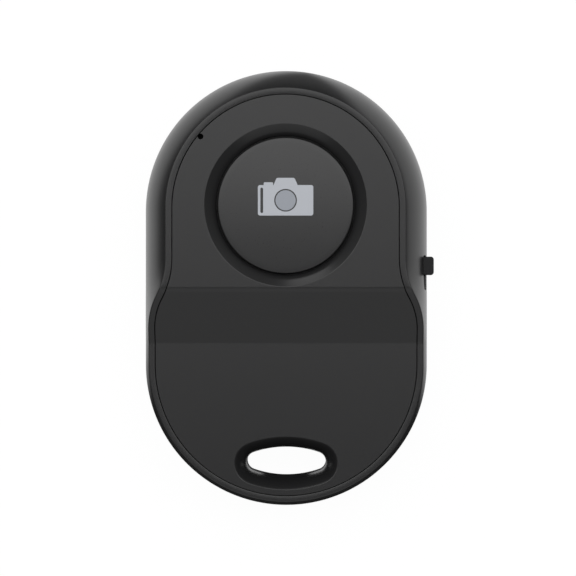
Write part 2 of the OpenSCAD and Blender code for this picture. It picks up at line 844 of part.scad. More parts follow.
// Moulded base of the push switch, with the pit that holds its dome
module push_base() {
    color(chip_black) difference() {
        translate([-tact_w / 2, button_y - tact_w / 2, tact_base_z])
            cube([tact_w, tact_w, tact_cover_z - tact_base_z]);
        translate([0, button_y, tact_pit_z]) cylinder(h = tact_h, r = tact_pit_r);
    }
}

module push_dome() {
    color(nickel) translate([0, button_y, 0]) rotate_extrude() intersection() {
        translate([0, dome_top_z - dome_ball_r]) difference() {
            circle(dome_ball_r);
            circle(dome_ball_r - dome_t);
        }
        translate([0, dome_top_z - dome_rise]) square([dome_r, dome_rise + over]);
    }
}

module push_plunger() {
    color(knob_black) translate([0, button_y, 0]) {
        translate([0, 0, plunger_z]) cylinder(h = plunger_flange_t, r = dome_r);
        translate([0, 0, plunger_z + plunger_flange_t / 2])
            cylinder(h = tact_top_z - plunger_z - plunger_flange_t / 2, r = plunger_r);
    }
}

// Steel frame over the push switch, with two folded sides
module push_cover() {
    fold_z = tact_base_z + tact_h / 4;
    color(steel) translate([0, button_y, 0]) {
        difference() {
            translate([-tact_w / 2 - tact_cover_t, -tact_w / 2, tact_cover_z])
                cube([tact_w + 2 * tact_cover_t, tact_w, tact_cover_t]);
            translate([0, 0, tact_base_z]) cylinder(h = tact_h, r = plunger_r + slide_gap);
        }
        for (side = [-1, 1])
            translate([side * (tact_w + tact_cover_t) / 2 - tact_cover_t / 2, -tact_w / 4, fold_z])
                cube([tact_cover_t, tact_w / 2, tact_cover_z + tact_cover_t / 2 - fold_z]);
    }
}

module push_terminals() {
    leg_w = tact_w / 8;
    leg_l = tact_w / 5;
    leg_x = 3 * leg_w;
    color(nickel) for (side = [-1, 1], end = [-1, 1])
        translate([side * leg_x, button_y + end * (tact_w + leg_l) / 2, board_top_z + part_pin_t / 2])
            cube([leg_w, leg_l, part_pin_t], center = true);
}

module switch_base() {
    color(chip_black)
        translate([switch_x0 + switch_t, switch_y - switch_l / 2 + switch_t, switch_base_z])
            cube([switch_w - 2 * switch_t, switch_l - 2 * switch_t, switch_base_t]);
}

// Steel cover of the power switch, open below and slotted for the slider's stem
module switch_cover() {
    gate = stem_w + knob_travel + 2 * slide_gap;
    gate_z = switch_base_z + switch_base_t;
    color(steel) difference() {
        translate([switch_x0, switch_y - switch_l / 2, switch_base_z]) cube([switch_w, switch_l, switch_h]);
        translate([switch_x0 + switch_t, switch_y - switch_l / 2 + switch_t, switch_base_z - over])
            cube([switch_w - 2 * switch_t, switch_l - 2 * switch_t, switch_h - switch_t + over]);
        translate([switch_x1 - switch_t - over, switch_y - gate / 2, gate_z])
            cube([switch_t + 2 * over, gate, stem_mid_z + stem_t / 2 + slide_gap - gate_z]);
    }
}

module switch_terminals() {
    leg_w = tag_w;
    leg_l = 2 * tag_w;
    pitch = switch_l * 2 / 9;
    color(nickel) for (k = [-1:1])
        translate([switch_x0 - leg_l, switch_y + k * pitch - leg_w / 2, board_top_z])
            cube([leg_l, leg_w, part_pin_t]);
}

// Slider of the power switch, with the knob that stands out of the side
module switch_slider() {
    knob_outline = concat([[knob_x0, knob_l / 2], [knob_x0, -knob_l / 2]],
        arc(knob_x1 - knob_round, knob_round - knob_l / 2, knob_round, -90, 0, short_steps),
        arc(knob_x1 - knob_round, knob_l / 2 - knob_round, knob_round, 0, 90, short_steps));
    color(knob_black) translate([0, knob_y, 0]) {
        translate([slider_x0, -slider_l / 2, slider_z])
            cube([slider_x1 - slider_x0, slider_l, slider_top_z - slider_z]);
        translate([slider_x1 - loose_gap, -stem_w / 2, stem_mid_z - stem_t / 2])
            cube([knob_x0 - slider_x1 + 2 * loose_gap, stem_w, stem_t]);
        translate([0, 0, knob_z]) linear_extrude(knob_t) polygon(knob_outline);
    }
}

module switch_wiper() {
    wiper_x = (slider_x0 + slider_x1) / 2;
    wiper_w = (slider_x1 - slider_x0) / 2;
    color(gold) translate([wiper_x - wiper_w / 2, knob_y - slider_l / 2 + loose_gap, slider_z - wiper_t])
        cube([wiper_w, slider_l - 2 * loose_gap, wiper_t]);
}

// A revolved section about the coin cell's axis
module about_cell() {
    translate([0, head_y, 0]) rotate_extrude() children();
}

// Outer can, its rim turned in over the gasket
module coin_cell_can() {
    color(steel) about_cell() polygon([[0, cell_z], [cell_r, cell_z], [cell_r, rim_z],
        [cell_r - can_t, rim_z + can_t], [lid_r + gasket_t, rim_z + can_t], [lid_r + gasket_t, rim_z],
        [cell_r - can_t, rim_z], [cell_r - can_t, cell_z + can_t], [0, cell_z + can_t]]);
}

module coin_cell_gasket() {
    inner = cell_r - can_t - gasket_t;
    color(gasket_grey) about_cell() polygon([[inner, cell_z + can_t], [cell_r - can_t, cell_z + can_t],
        [cell_r - can_t, rim_z], [lid_r + gasket_t, rim_z], [lid_r + gasket_t, rim_z + can_t],
        [lid_r, rim_z + can_t], [lid_r, rim_z - gasket_t], [inner, rim_z - gasket_t]]);
}

module coin_cell_lid() {
    foot_r = cell_r - can_t - gasket_t;
    foot_z = cell_z + can_t + gasket_t;
    color(nickel) about_cell() polygon([[0, cell_top_z], [lid_r - can_t, cell_top_z],
        [lid_r, cell_top_z - can_t], [lid_r, rim_z - gasket_t], [foot_r, rim_z - gasket_t],
        [foot_r, foot_z], [foot_r - can_t, foot_z],
        [foot_r - can_t, rim_z - gasket_t - can_t], [lid_r - can_t, rim_z - gasket_t - can_t],
        [lid_r - can_t, cell_top_z - can_t], [0, cell_top_z - can_t]]);
}

module coin_cell_cathode() {
    color(chip_black) translate([0, head_y, cell_z + can_t]) cylinder(h = cathode_h, r = pellet_r);
}

module coin_cell_anode() {
    color(nickel) translate([0, head_y, cell_z + can_t + cathode_h])
        cylinder(h = cell_h - 2 * can_t - cathode_h, r = pellet_r);
}

// Clip that touches the can's side
module positive_contact() {
    touch_y = head_y + cell_r + slide_gap;
    color(gold) translate([-clip_w / 2, touch_y, 0]) {
        translate([0, 0, cell_z + cell_h / 4])
            cube([clip_w, contact_t, board_z - cell_z - cell_h / 4]);
        translate([0, 0, board_z - contact_t]) cube([clip_w, clip_foot, contact_t]);
    }
}

// Bowed strip that touches the lid's middle, soldered at both ends
module negative_contact() {
    low = cell_top_z + slide_gap / 2;
    high = board_z - contact_t;
    half = strip_l / 2;
    bend = half - strip_foot;
    upper = [[-half, high + contact_t], [-bend, high + contact_t], [-strip_flat / 2, low + contact_t],
        [strip_flat / 2, low + contact_t], [bend, high + contact_t], [half, high + contact_t]];
    lower = [[half, high], [bend, high], [strip_flat / 2, low],
        [-strip_flat / 2, low], [-bend, high], [-half, high]];
    color(gold) translate([0, head_y + strip_w / 2, 0]) rotate([90, 0, 0]) linear_extrude(strip_w)
        polygon(concat(upper, lower));
}

front_shell();
face_panel();
rear_shell();
battery_door();
shutter_button();
camera_mark();
circuit_board();
board_screws();
antenna_trace();
radio_chip();
memory_chip();
crystal();
capacitors();
resistors();
status_lamp();
push_base();
push_dome();
push_plunger();
push_cover();
push_terminals();
switch_base();
switch_cover();
switch_terminals();
switch_slider();
switch_wiper();
coin_cell_can();
coin_cell_gasket();
coin_cell_lid();
coin_cell_cathode();
coin_cell_anode();
positive_contact();
negative_contact();
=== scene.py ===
"""Looks of a pocket camera remote: moulded shells, face panel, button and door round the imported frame."""

import json
import logging
import math
from collections.abc import Callable, Sequence
from dataclasses import dataclass, field
from enum import Enum

import bmesh
import bpy
import numpy as np
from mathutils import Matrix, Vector
from mathutils.geometry import delaunay_2d_cdt


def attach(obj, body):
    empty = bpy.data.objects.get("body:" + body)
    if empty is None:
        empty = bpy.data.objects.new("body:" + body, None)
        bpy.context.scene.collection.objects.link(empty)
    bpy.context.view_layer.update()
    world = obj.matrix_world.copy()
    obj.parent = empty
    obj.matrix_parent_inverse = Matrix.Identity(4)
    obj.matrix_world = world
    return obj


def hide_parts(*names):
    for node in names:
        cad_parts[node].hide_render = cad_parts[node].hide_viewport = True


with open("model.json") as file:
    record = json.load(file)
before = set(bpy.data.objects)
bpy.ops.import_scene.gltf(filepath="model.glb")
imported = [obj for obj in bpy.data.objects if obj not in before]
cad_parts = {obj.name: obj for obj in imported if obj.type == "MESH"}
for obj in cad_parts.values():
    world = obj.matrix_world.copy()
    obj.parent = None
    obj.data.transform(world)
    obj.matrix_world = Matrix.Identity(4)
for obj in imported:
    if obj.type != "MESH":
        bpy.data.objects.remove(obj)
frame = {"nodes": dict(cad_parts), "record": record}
log = logging.getLogger("remote")

MM = 0.001
SHARP_ANGLE = math.radians(38)

# Attribute with the way that a sheet faces at a corner; a way shorter than this is not known.
FACING = "facing"
UNKNOWN = 0.5

# In millimetres: the step that slopes are taken over, how near corners are one corner and places
# one place, and how far a cutter stands out of what it cuts.
NEAR = 0.001
WELD = 1e-5
SAME_PLACE = 1e-7
CLEAR = 1.0

# Decimals that places along the body are rounded to, so that no two lie too near each other.
PLACE_DIGITS = 6

Flat = tuple[float, float]
Ring = list[bmesh.types.BMVert]
Height = Callable[[float, float], float]
Profile = list[tuple[float, float]]
Socket = bpy.types.NodeSocket


def spread(start: float, end: float, steps: int) -> list[float]:
    """Numbers from a start to an end in even steps, both ends included."""
    return [start + (end - start) * k / steps for k in range(steps + 1)]


def arc(centre: Flat, radius: float, start: float, end: float, steps: int) -> list[Flat]:
    """Points along an arc.

    Args:
        centre: Middle of the arc, in millimetres.
        radius: Radius in millimetres.
        start: First angle, in degrees.
        end: Last angle, in degrees.
        steps: Number of steps along the arc.

    Returns:
        The points, both ends included.
    """
    angles = [math.radians(angle) for angle in spread(start, end, steps)]
    return [(centre[0] + radius * math.cos(a), centre[1] + radius * math.sin(a)) for a in angles]


def circle(centre: Flat, radius: float, steps: int) -> list[Flat]:
    """Points round a full circle, with no point twice."""
    return arc(centre, radius, 0, 360, steps)[:-1]


def bend(start: Sequence[float], corner: Sequence[float], end: Sequence[float], steps: int) -> list[tuple]:
    """Points of a soft corner, from a start to an end.

    Args:
        start: Point where the corner begins to round.
        corner: The corner itself.
        end: Point where the rounding ends.
        steps: Number of steps along it.

    Returns:
        The points, both ends included, with as many numbers each as the given ones.
    """
    return [tuple((1 - t) ** 2 * a + 2 * t * (1 - t) * b + t * t * c
                  for a, b, c in zip(start, corner, end)) for t in spread(0, 1, steps)]


def quarter(radius: float, steps: int) -> list[tuple[float, float]]:
    """Steps out and down of a rounded edge, from a flat top to an upright side."""
    angles = spread(0, math.pi / 2, steps)[1:]
    return [(radius * math.sin(a), radius * (1 - math.cos(a))) for a in angles]


def arc_radius(rise: float, run: float) -> float:
    """Radius of an arc that starts upright and leans over by a run within a rise."""
    return (rise ** 2 + run ** 2) / (2 * run)


def rounding_reach(radius: float, lean: float) -> float:
    """How far a rounding reaches along the flat and the leaning curve that it joins."""
    return radius * math.tan((math.pi / 2 - lean) / 2)


class Maker:
    """Gathers the faces of one piece, in millimetres, and turns them into an object."""

    def __init__(self) -> None:
        """Starts with no faces."""
        self.bm = bmesh.new()
        self.facing = self.bm.verts.layers.float_vector.new(FACING)

    def ring(self, points: Sequence[Sequence[float]]) -> Ring:
        """Adds one ring of corners."""
        return [self.bm.verts.new(p) for p in points]

    def join(self, low: Ring, high: Ring) -> None:
        """Joins two closed rings that have as many corners each.

        Args:
            low: First ring.
            high: Second ring.
        """
        for k in range(len(low)):
            n = (k + 1) % len(low)
            self.bm.faces.new((low[k], low[n], high[n], high[k]))

    def prism(self, low: Sequence[Sequence[float]], high: Sequence[Sequence[float]]) -> None:
        """Adds a closed block between two outlines that have as many corners each.

        Args:
            low: Corners of its one end.
            high: Corners of its other end.
        """
        ends = self.ring(low), self.ring(high)
        self.join(*ends)
        for end in ends:
            self.bm.faces.new(end)

    def stitch(self, one: Ring, other: Ring) -> None:
        """Joins two closed rings whose numbers of corners differ.

        Args:
            one: First ring.
            other: Second ring, near the first.
        """
        if (turn_of(one) > 0) != (turn_of(other) > 0):
            other = other[::-1]
        first = min(range(len(other)), key=lambda k: (other[k].co - one[0].co).length)
        other = other[first:] + other[:first]
        i = j = 0
        while i < len(one) or j < len(other):
            a, b = one[i % len(one)], other[j % len(other)]
            next_a, next_b = one[(i + 1) % len(one)], other[(j + 1) % len(other)]
            nearer = (next_a.co - b.co).length <= (next_b.co - a.co).length
            if j >= len(other) or (i < len(one) and nearer):
                self.bm.faces.new((a, next_a, b))
                i += 1
            else:
                self.bm.faces.new((a, next_b, b))
                j += 1

    def sheet(self, loops: Sequence[Sequence], height: Height | None = None,
              rows: Sequence[float] = (), spots: Sequence[Flat] = ()) -> list[Ring]:
        """Adds a sheet inside the first loop and outside the others.

        Args:
            loops: Rings of corners that are there already, or flat points for new ones.
            height: Height over a place, for new corners.
            rows: Places along the body where the sheet has a line from side to side.
            spots: Places inside the sheet where it has a corner, so that it can follow a curve.

        Returns:
            The border of the sheet at each loop, with the sheet on its left.
        """
        flat, edges, kept = [], [], []
        for loop in loops:
            start = len(flat)
            size = len(loop)
            old = isinstance(loop[0], bmesh.types.BMVert)
            flat.extend(Vector(p.co[:2]) if old else Vector(p) for p in loop)
            kept.extend(loop if old else [None] * size)
            edges.extend((start + k, start + (k + 1) % size) for k in range(size))
        reach = 2 * max(abs(p.x) for p in flat)
        for row in rows:
            edges.append((len(flat), len(flat) + 1))
            flat.extend((Vector((-reach, row)), Vector((reach, row))))
            kept.extend((None, None))
        lines = np.array([[*flat[a], *flat[b]] for a, b in edges[:len(edges) - len(rows)]])
        flat.extend(Vector(spot) for spot in spots)
        kept.extend([None] * len(spots))
        places, _, faces, from_points, _, _ = delaunay_2d_cdt(flat, edges, [], 0, SAME_PLACE)
        corners = {}

        def corner(index: int) -> bmesh.types.BMVert:
            """The corner at one place of the sheet, made when it is first asked for.

            Args:
                index: Number of the place.

            Returns:
                The corner.
            """
            if index not in corners:
                given = [kept[k] for k in from_points[index] if kept[k] is not None]
                x, y = places[index]
                corners[index] = given[0] if given else self.bm.verts.new((x, y, height(x, y)))
                corners[index][self.facing] = facing(height, x, y)
            return corners[index]

        onward = {}
        for face in faces:
            middle = sum((places[k] for k in face), Vector((0, 0))) / len(face)
            if not lies_inside(lines, middle):
                continue
            self.bm.faces.new([corner(k) for k in face])
            onward.update(dict.fromkeys(zip(face, (*face[1:], face[0]))))
        after = {a: b for a, b in onward if (b, a) not in onward}
        rings, first = [], 0
        for loop in loops:
            start = next(k for k, sources in enumerate(from_points) if first in sources)
            walk = [start]
            while after[walk[-1]] != start:
                walk.append(after[walk[-1]])
                if len(walk) > len(places):
                    raise ValueError(f"the border of a loop of {len(loop)} corners does not close")
            rings.append([corners[k] for k in walk])
            first += len(loop)
        return rings

    def border(self, ring: Ring, steps: Profile, hub: Flat | None = None) -> Ring:
        """Draws a border away from the edge of a sheet.

        Args:
            ring: The sheet's edge, with the sheet on its left.
            steps: How far out from the edge and how far below it each next ring lies.
            hub: Centre that the border of a round hole is drawn in to.

        Returns:
            The last ring.
        """
        size = len(ring)
        outs = []
        for k in range(size):
            if hub:
                outs.append((Vector(hub) - ring[k].co.xy).normalized())
                continue
            along = Vector((0, 0))
            for a, b in ((ring[k - 1], ring[k]), (ring[k], ring[(k + 1) % size])):
                along += (b.co - a.co).xy.normalized()
            outs.append(Vector((along.y, -along.x)).normalized())
        base, last = [v.co.copy() for v in ring], ring
        for out, down in steps:
            fresh = self.ring([(p.x + n.x * out, p.y + n.y * out, p.z - down) for p, n in zip(base, outs)])
            self.join(last, fresh)
            last = fresh
        return last

    def revolve(self, centre: Flat, profile: Profile, steps: int) -> None:
        """Turns a profile about an upright axis.

        Args:
            centre: Place of the axis.
            profile: Radius and height of each point; the first and last may lie on the axis.
            steps: Number of steps round.
        """
        rings = []
        for radius, z in profile:
            points = circle(centre, radius, steps) if radius > 0 else [centre]
            rings.append(self.ring([(x, y, z) for x, y in points]))
        for low, high in zip(rings, rings[1:]):
            if len(low) == 1 or len(high) == 1:
                tip, rim = (low[0], high) if len(low) == 1 else (high[0], low)
                for k in range(len(rim)):
                    self.bm.faces.new((tip, rim[k], rim[(k + 1) % len(rim)]))
            else:
                self.join(low, high)

    def plate(self, loop: Sequence[Flat], low: float, high: float, rounding: float, steps: int = 3) -> None:
        """Adds a closed plate with rounded edges.

        Args:
            loop: Its outline, drawn in by the rounding.
            low: Height of its underside.
            high: Height of its top.
            rounding: Radius of its edges.
            steps: Number of steps along each rounding.
        """
        ring = self.sheet([loop], lambda x, y: high)[0]
        top = quarter(rounding, steps)
        base = [(out, high - low - down) for out, down in reversed([(0, 0), *top])]
        self.sheet([self.border(ring, top + base)])

    def mesh(self, name: str, closed: bool = True) -> bpy.types.Mesh:
        """Turns what was gathered into a mesh.

        Args:
            name: Name of the mesh.
            closed: Whether it is a solid, whose faces are turned outwards.

        Returns:
            The mesh, in metres.
        """
        if closed:
            bmesh.ops.recalc_face_normals(self.bm, faces=self.bm.faces[:])
        bmesh.ops.scale(self.bm, vec=(MM, MM, MM), verts=self.bm.verts[:])
        mesh = bpy.data.meshes.new(name)
        self.bm.to_mesh(mesh)
        self.bm.free()
        return mesh

    def piece(self, name: str, finish: "Finish", body: str) -> bpy.types.Object:
        """Turns what was gathered into an object that rides on a body.

        Args:
            name: Name of the piece.
            finish: Its finish.
            body: Body that it moves with.

        Returns:
            The object, in metres.
        """
        bmesh.ops.remove_doubles(self.bm, verts=self.bm.verts[:], dist=WELD)
        mesh = self.mesh(name)
        piece = bpy.data.objects.new(name, mesh)
        bpy.context.scene.collection.objects.link(piece)
        mesh.materials.append(finish.material())
        soften(piece)
        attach(piece, body)
        return piece


def facing(height: Height | None, x: float, y: float) -> Vector:
    """Way that a sheet faces over a place, or straight up where it has no height.

    Args:
        height: Height of the sheet over a place.
        x: The place from side to side.
        y: The place along the body.

    Returns:
        The way, of length 1.
    """
    if height is None:
        return Vector((0, 0, 1))
    return Vector((height(x - NEAR, y) - height(x + NEAR, y), height(x, y - NEAR) - height(x, y + NEAR),
                   2 * NEAR)).normalized()


def turn_of(ring: Ring) -> float:
    """Twice the area that a ring goes round, above zero where it turns to the left."""
    return sum(a.co.x * b.co.y - b.co.x * a.co.y for a, b in zip(ring, ring[1:] + ring[:1]))


def lies_inside(lines: np.ndarray, place: Vector) -> bool:
    """Whether a place lies inside an odd number of the loops that the lines make.

    Args:
        lines: Both ends of each line, one line a row.
        place: The place.

    Returns:
        True where it does.
    """
    x0, y0, x1, y1 = lines.T
    crosses = (y0 > place.y) != (y1 > place.y)
    rise = np.where(crosses, y1 - y0, 1)
    return bool(np.sum(crosses & (place.x < x0 + (place.y - y0) * (x1 - x0) / rise)) % 2)


def soften(piece: bpy.types.Object) -> None:
    """Shades a piece smooth between its sharp edges, with each sheet shaded as its height says.

    Args:
        piece: The piece.
    """
    mesh = piece.data
    mesh.shade_smooth()
    mesh.set_sharp_from_angle(angle=SHARP_ANGLE)
    weigh = piece.modifiers.new("flats", "WEIGHTED_NORMAL")
    weigh.keep_sharp = True
    bpy.context.view_layer.update()
    weighed = piece.evaluated_get(bpy.context.evaluated_depsgraph_get()).data
    normals = np.empty(len(mesh.loops) * 3)
    weighed.corner_normals.foreach_get("vector", normals)
    piece.modifiers.clear()
    normals = normals.reshape(-1, 3)
    known = np.zeros(len(mesh.vertices) * 3)
    if FACING in mesh.attributes:
        mesh.attributes[FACING].data.foreach_get("vector", known)
    corners = np.empty(len(mesh.loops), dtype=int)
    mesh.loops.foreach_get("vertex_index", corners)
    known = known.reshape(-1, 3)[corners]
    agree = np.sum(normals * known, axis=1)
    near = np.abs(agree) > math.cos(SHARP_ANGLE)
    normals[near] = known[near] * np.sign(agree[near])[:, None]
    mesh.normals_split_custom_set(normals.tolist())


def carve(piece: bpy.types.Object, cutter: Maker, height: Height | None = None) -> None:
    """Cuts a shape out of a piece.

    Args:
        piece: The piece.
        cutter: The closed shape that is taken away, in millimetres.
        height: Height of the surface that the cut goes through, where its new corners face as it does.
    """
    knife = bpy.data.objects.new("cutter", cutter.mesh("cutter"))
    bpy.context.scene.collection.objects.link(knife)
    cut = piece.modifiers.new("cut", "BOOLEAN")
    cut.operation = "DIFFERENCE"
    cut.solver = "EXACT"
    cut.object = knife
    bpy.context.view_layer.update()
    done = bpy.data.meshes.new_from_object(piece.evaluated_get(bpy.context.evaluated_depsgraph_get()))
    piece.modifiers.clear()
    piece.data = done
    bpy.data.objects.remove(knife)
    if height:
        for corner, fresh in zip(done.attributes[FACING].data, done.vertices):
            x, y, z = fresh.co / MM
            if corner.vector.length < UNKNOWN and abs(z - height(x, y)) < NEAR:
                corner.vector = facing(height, x, y)
    soften(piece)


def grey(level: float) -> tuple[float, float, float, float]:
    """A grey as a colour."""
    return (level, level, level, 1)


class Grain(Enum):
    """How the surface of a finish is broken up."""

    SPECKLED = "speckled"
    BRUSHED = "brushed"
    SMOOTH = "smooth"


@dataclass(frozen=True)
class Shader:
    """Adds nodes to the tree of one material or of the surroundings."""

    tree: bpy.types.NodeTree

    def node(self, kind: str, inputs: dict | None = None, operation: str = "") -> bpy.types.Node:
        """Adds one node.

        Args:
            kind: Its kind.
            inputs: What its sockets hold, each a constant or the socket that is joined to it.
            operation: What it does, where it has a choice.

        Returns:
            The node.
        """
        node = self.tree.nodes.new("ShaderNode" + kind)
        if operation:
            node.operation = operation
        self.fill(node, inputs or {})
        return node

    def fill(self, node: bpy.types.Node, inputs: dict) -> None:
        """Sets or joins sockets of a node.

        Args:
            node: The node.
            inputs: What its sockets hold, each a constant or the socket that is joined to it.
        """
        for name, value in inputs.items():
            if isinstance(value, Socket):
                self.tree.links.new(value, node.inputs[name])
            else:
                node.inputs[name].default_value = value

    def maths(self, operation: str, *values: Socket | float) -> Socket:
        """Adds one step of arithmetic on sockets and numbers."""
        return self.node("Math", dict(enumerate(values)), operation).outputs[0]

    def blend(self, share: Socket, one: bpy.types.Node, other: bpy.types.Node, end: str) -> None:
        """Ends the tree in a blend of two surfaces or backgrounds.

        Args:
            share: Share of the second one.
            one: The first one.
            other: The second one.
            end: Kind of the node that ends the tree.
        """
        mix = self.node("MixShader", {"Fac": share, 1: one.outputs[0], 2: other.outputs[0]})
        self.node(end, {"Surface": mix.outputs[0]})


@dataclass(frozen=True)
class Finish:
    """One finish of the remote: its colour, gloss and grain."""

    name: str
    slot: str
    colour: tuple[float, float, float]
    rough: float
    grain: Grain
    metal: float = 0.0
    gloss: float = 0.5
    depth: float = 0.0
    grain_size: float = 0.12
    grain_detail: float = 3
    cloud_size: float = 12
    cloud_detail: float = 2
    mottle: float = 0.06
    brush_share: float = 0.04

    def material(self) -> bpy.types.Material:
        """Makes the finish as a node material, once.

        Returns:
            The material.
        """
        known = bpy.data.materials.get(self.name)
        if known:
            return known
        material = bpy.data.materials.new(self.name)
        material.use_nodes = True
        shader = Shader(material.node_tree)
        skin = shader.tree.nodes["Principled BSDF"]
        place = shader.node("TexCoord").outputs["Object"]
        cloud = self.noise(shader, place, self.cloud_size, self.cloud_detail)
        speck = self.noise(shader, place, self.grain_size, self.grain_detail)
        shade = shader.node("VectorMath", {0: self.colour, "Scale": self.strays(shader, cloud, 1)}, "SCALE")
        skin.inputs["Base Color"].default_value = (*self.colour, 1)
        shader.fill(skin, {"Base Color": shade.outputs["Vector"], "Metallic": self.metal,
                           "Specular IOR Level": self.gloss,
                           "Roughness": self.strays(shader, speck, self.rough)})
        if self.grain is not Grain.SMOOTH:
            bump = shader.node("Bump", {"Distance": self.depth * MM, "Strength": 1, "Height": speck})
            shader.fill(skin, {"Normal": bump.outputs["Normal"]})
        return material

    def strays(self, shader: Shader, noise: Socket, middle: float) -> Socket:
        """Adds a number that strays to both sides of its middle, by the finish's mottle.

        Args:
            shader: Tree of the material.
            noise: What it strays with.
            middle: Its middle.

        Returns:
            The socket with the number.
        """
        low, high = middle * (1 - self.mottle), middle * (1 + self.mottle)
        return shader.node("MapRange", {"Value": noise, "To Min": low, "To Max": high}).outputs["Result"]

    def noise(self, shader: Shader, place: Socket, size: float, detail: float) -> Socket:
        """Adds noise, drawn out along the body where the finish is brushed.

        Args:
            shader: Tree of the material.
            place: Socket with the place on the piece.
            size: Size of its spots, in millimetres.
            detail: How finely they are broken up.

        Returns:
            The socket with the noise.
        """
        along = self.brush_share if self.grain is Grain.BRUSHED else 1
        scale = (1 / (size * MM), along / (size * MM), 1 / (size * MM))
        stretch = shader.node("Mapping", {"Vector": place, "Scale": scale})
        inputs = {"Vector": stretch.outputs["Vector"], "Scale": 1, "Detail": detail}
        return shader.node("TexNoise", inputs).outputs["Fac"]


SHELL = Finish("shell_black", "shell", (0.0155, 0.0155, 0.016), 0.30, Grain.SPECKLED, depth=0.0012)
PANEL = Finish("panel_black", "panel", (0.0155, 0.0155, 0.016), 0.30, Grain.SPECKLED, depth=0.0015)
CAP = Finish("button_black", "button", (0.0248, 0.0248, 0.0253), 0.28, Grain.SPECKLED, depth=0.0012)
INK = Finish("mark_ink", "mark", (0.50, 0.52, 0.56), 0.5, Grain.SPECKLED, gloss=0.3, depth=0.001,
             grain_size=0.2)
LENS_INK = Finish("lens_ink", "mark", (0.34, 0.36, 0.40), 0.5, Grain.SPECKLED, gloss=0.3, depth=0.001)
KNOB = Finish("knob_black", "knob", (0.008, 0.008, 0.009), 0.45, Grain.SPECKLED, gloss=0.25, depth=0.003)
INNER_FINISHES = {finish.slot: finish for finish in (
    KNOB,
    Finish("board_green", "board", (0.015, 0.11, 0.05), 0.22, Grain.SPECKLED, depth=0.004, grain_size=0.5),
    Finish("zinc_screw", "screw_steel", (0.55, 0.56, 0.58), 0.3, Grain.BRUSHED, 1, depth=0.002),
    Finish("gold_plate", "gold", (0.78, 0.58, 0.26), 0.25, Grain.BRUSHED, 1, depth=0.001),
    Finish("epoxy_black", "chip", (0.018, 0.018, 0.02), 0.5, Grain.SPECKLED, depth=0.006, grain_size=0.08),
    Finish("nickel_plate", "nickel", (0.68, 0.66, 0.62), 0.22, Grain.BRUSHED, 1, depth=0.001),
    Finish("fired_ceramic", "ceramic", (0.42, 0.28, 0.17), 0.45, Grain.SPECKLED, depth=0.004),
    Finish("lamp_clear", "lamp", (0.85, 0.82, 0.7), 0.12, Grain.SMOOTH),
    Finish("cell_steel", "cell_steel", (0.6, 0.6, 0.61), 0.24, Grain.BRUSHED, 1, depth=0.002),
    Finish("gasket_grey", "gasket", (0.3, 0.31, 0.33), 0.6, Grain.SPECKLED, depth=0.002),
    Finish("pressed_powder", "cathode", (0.03, 0.03, 0.03), 0.8, Grain.SPECKLED, depth=0.02),
)}


@dataclass(frozen=True)
class Station:
    """One place round the body: on its widest line, on the face's edge, and the way out."""

    body: Vector
    face: Vector
    out: Vector


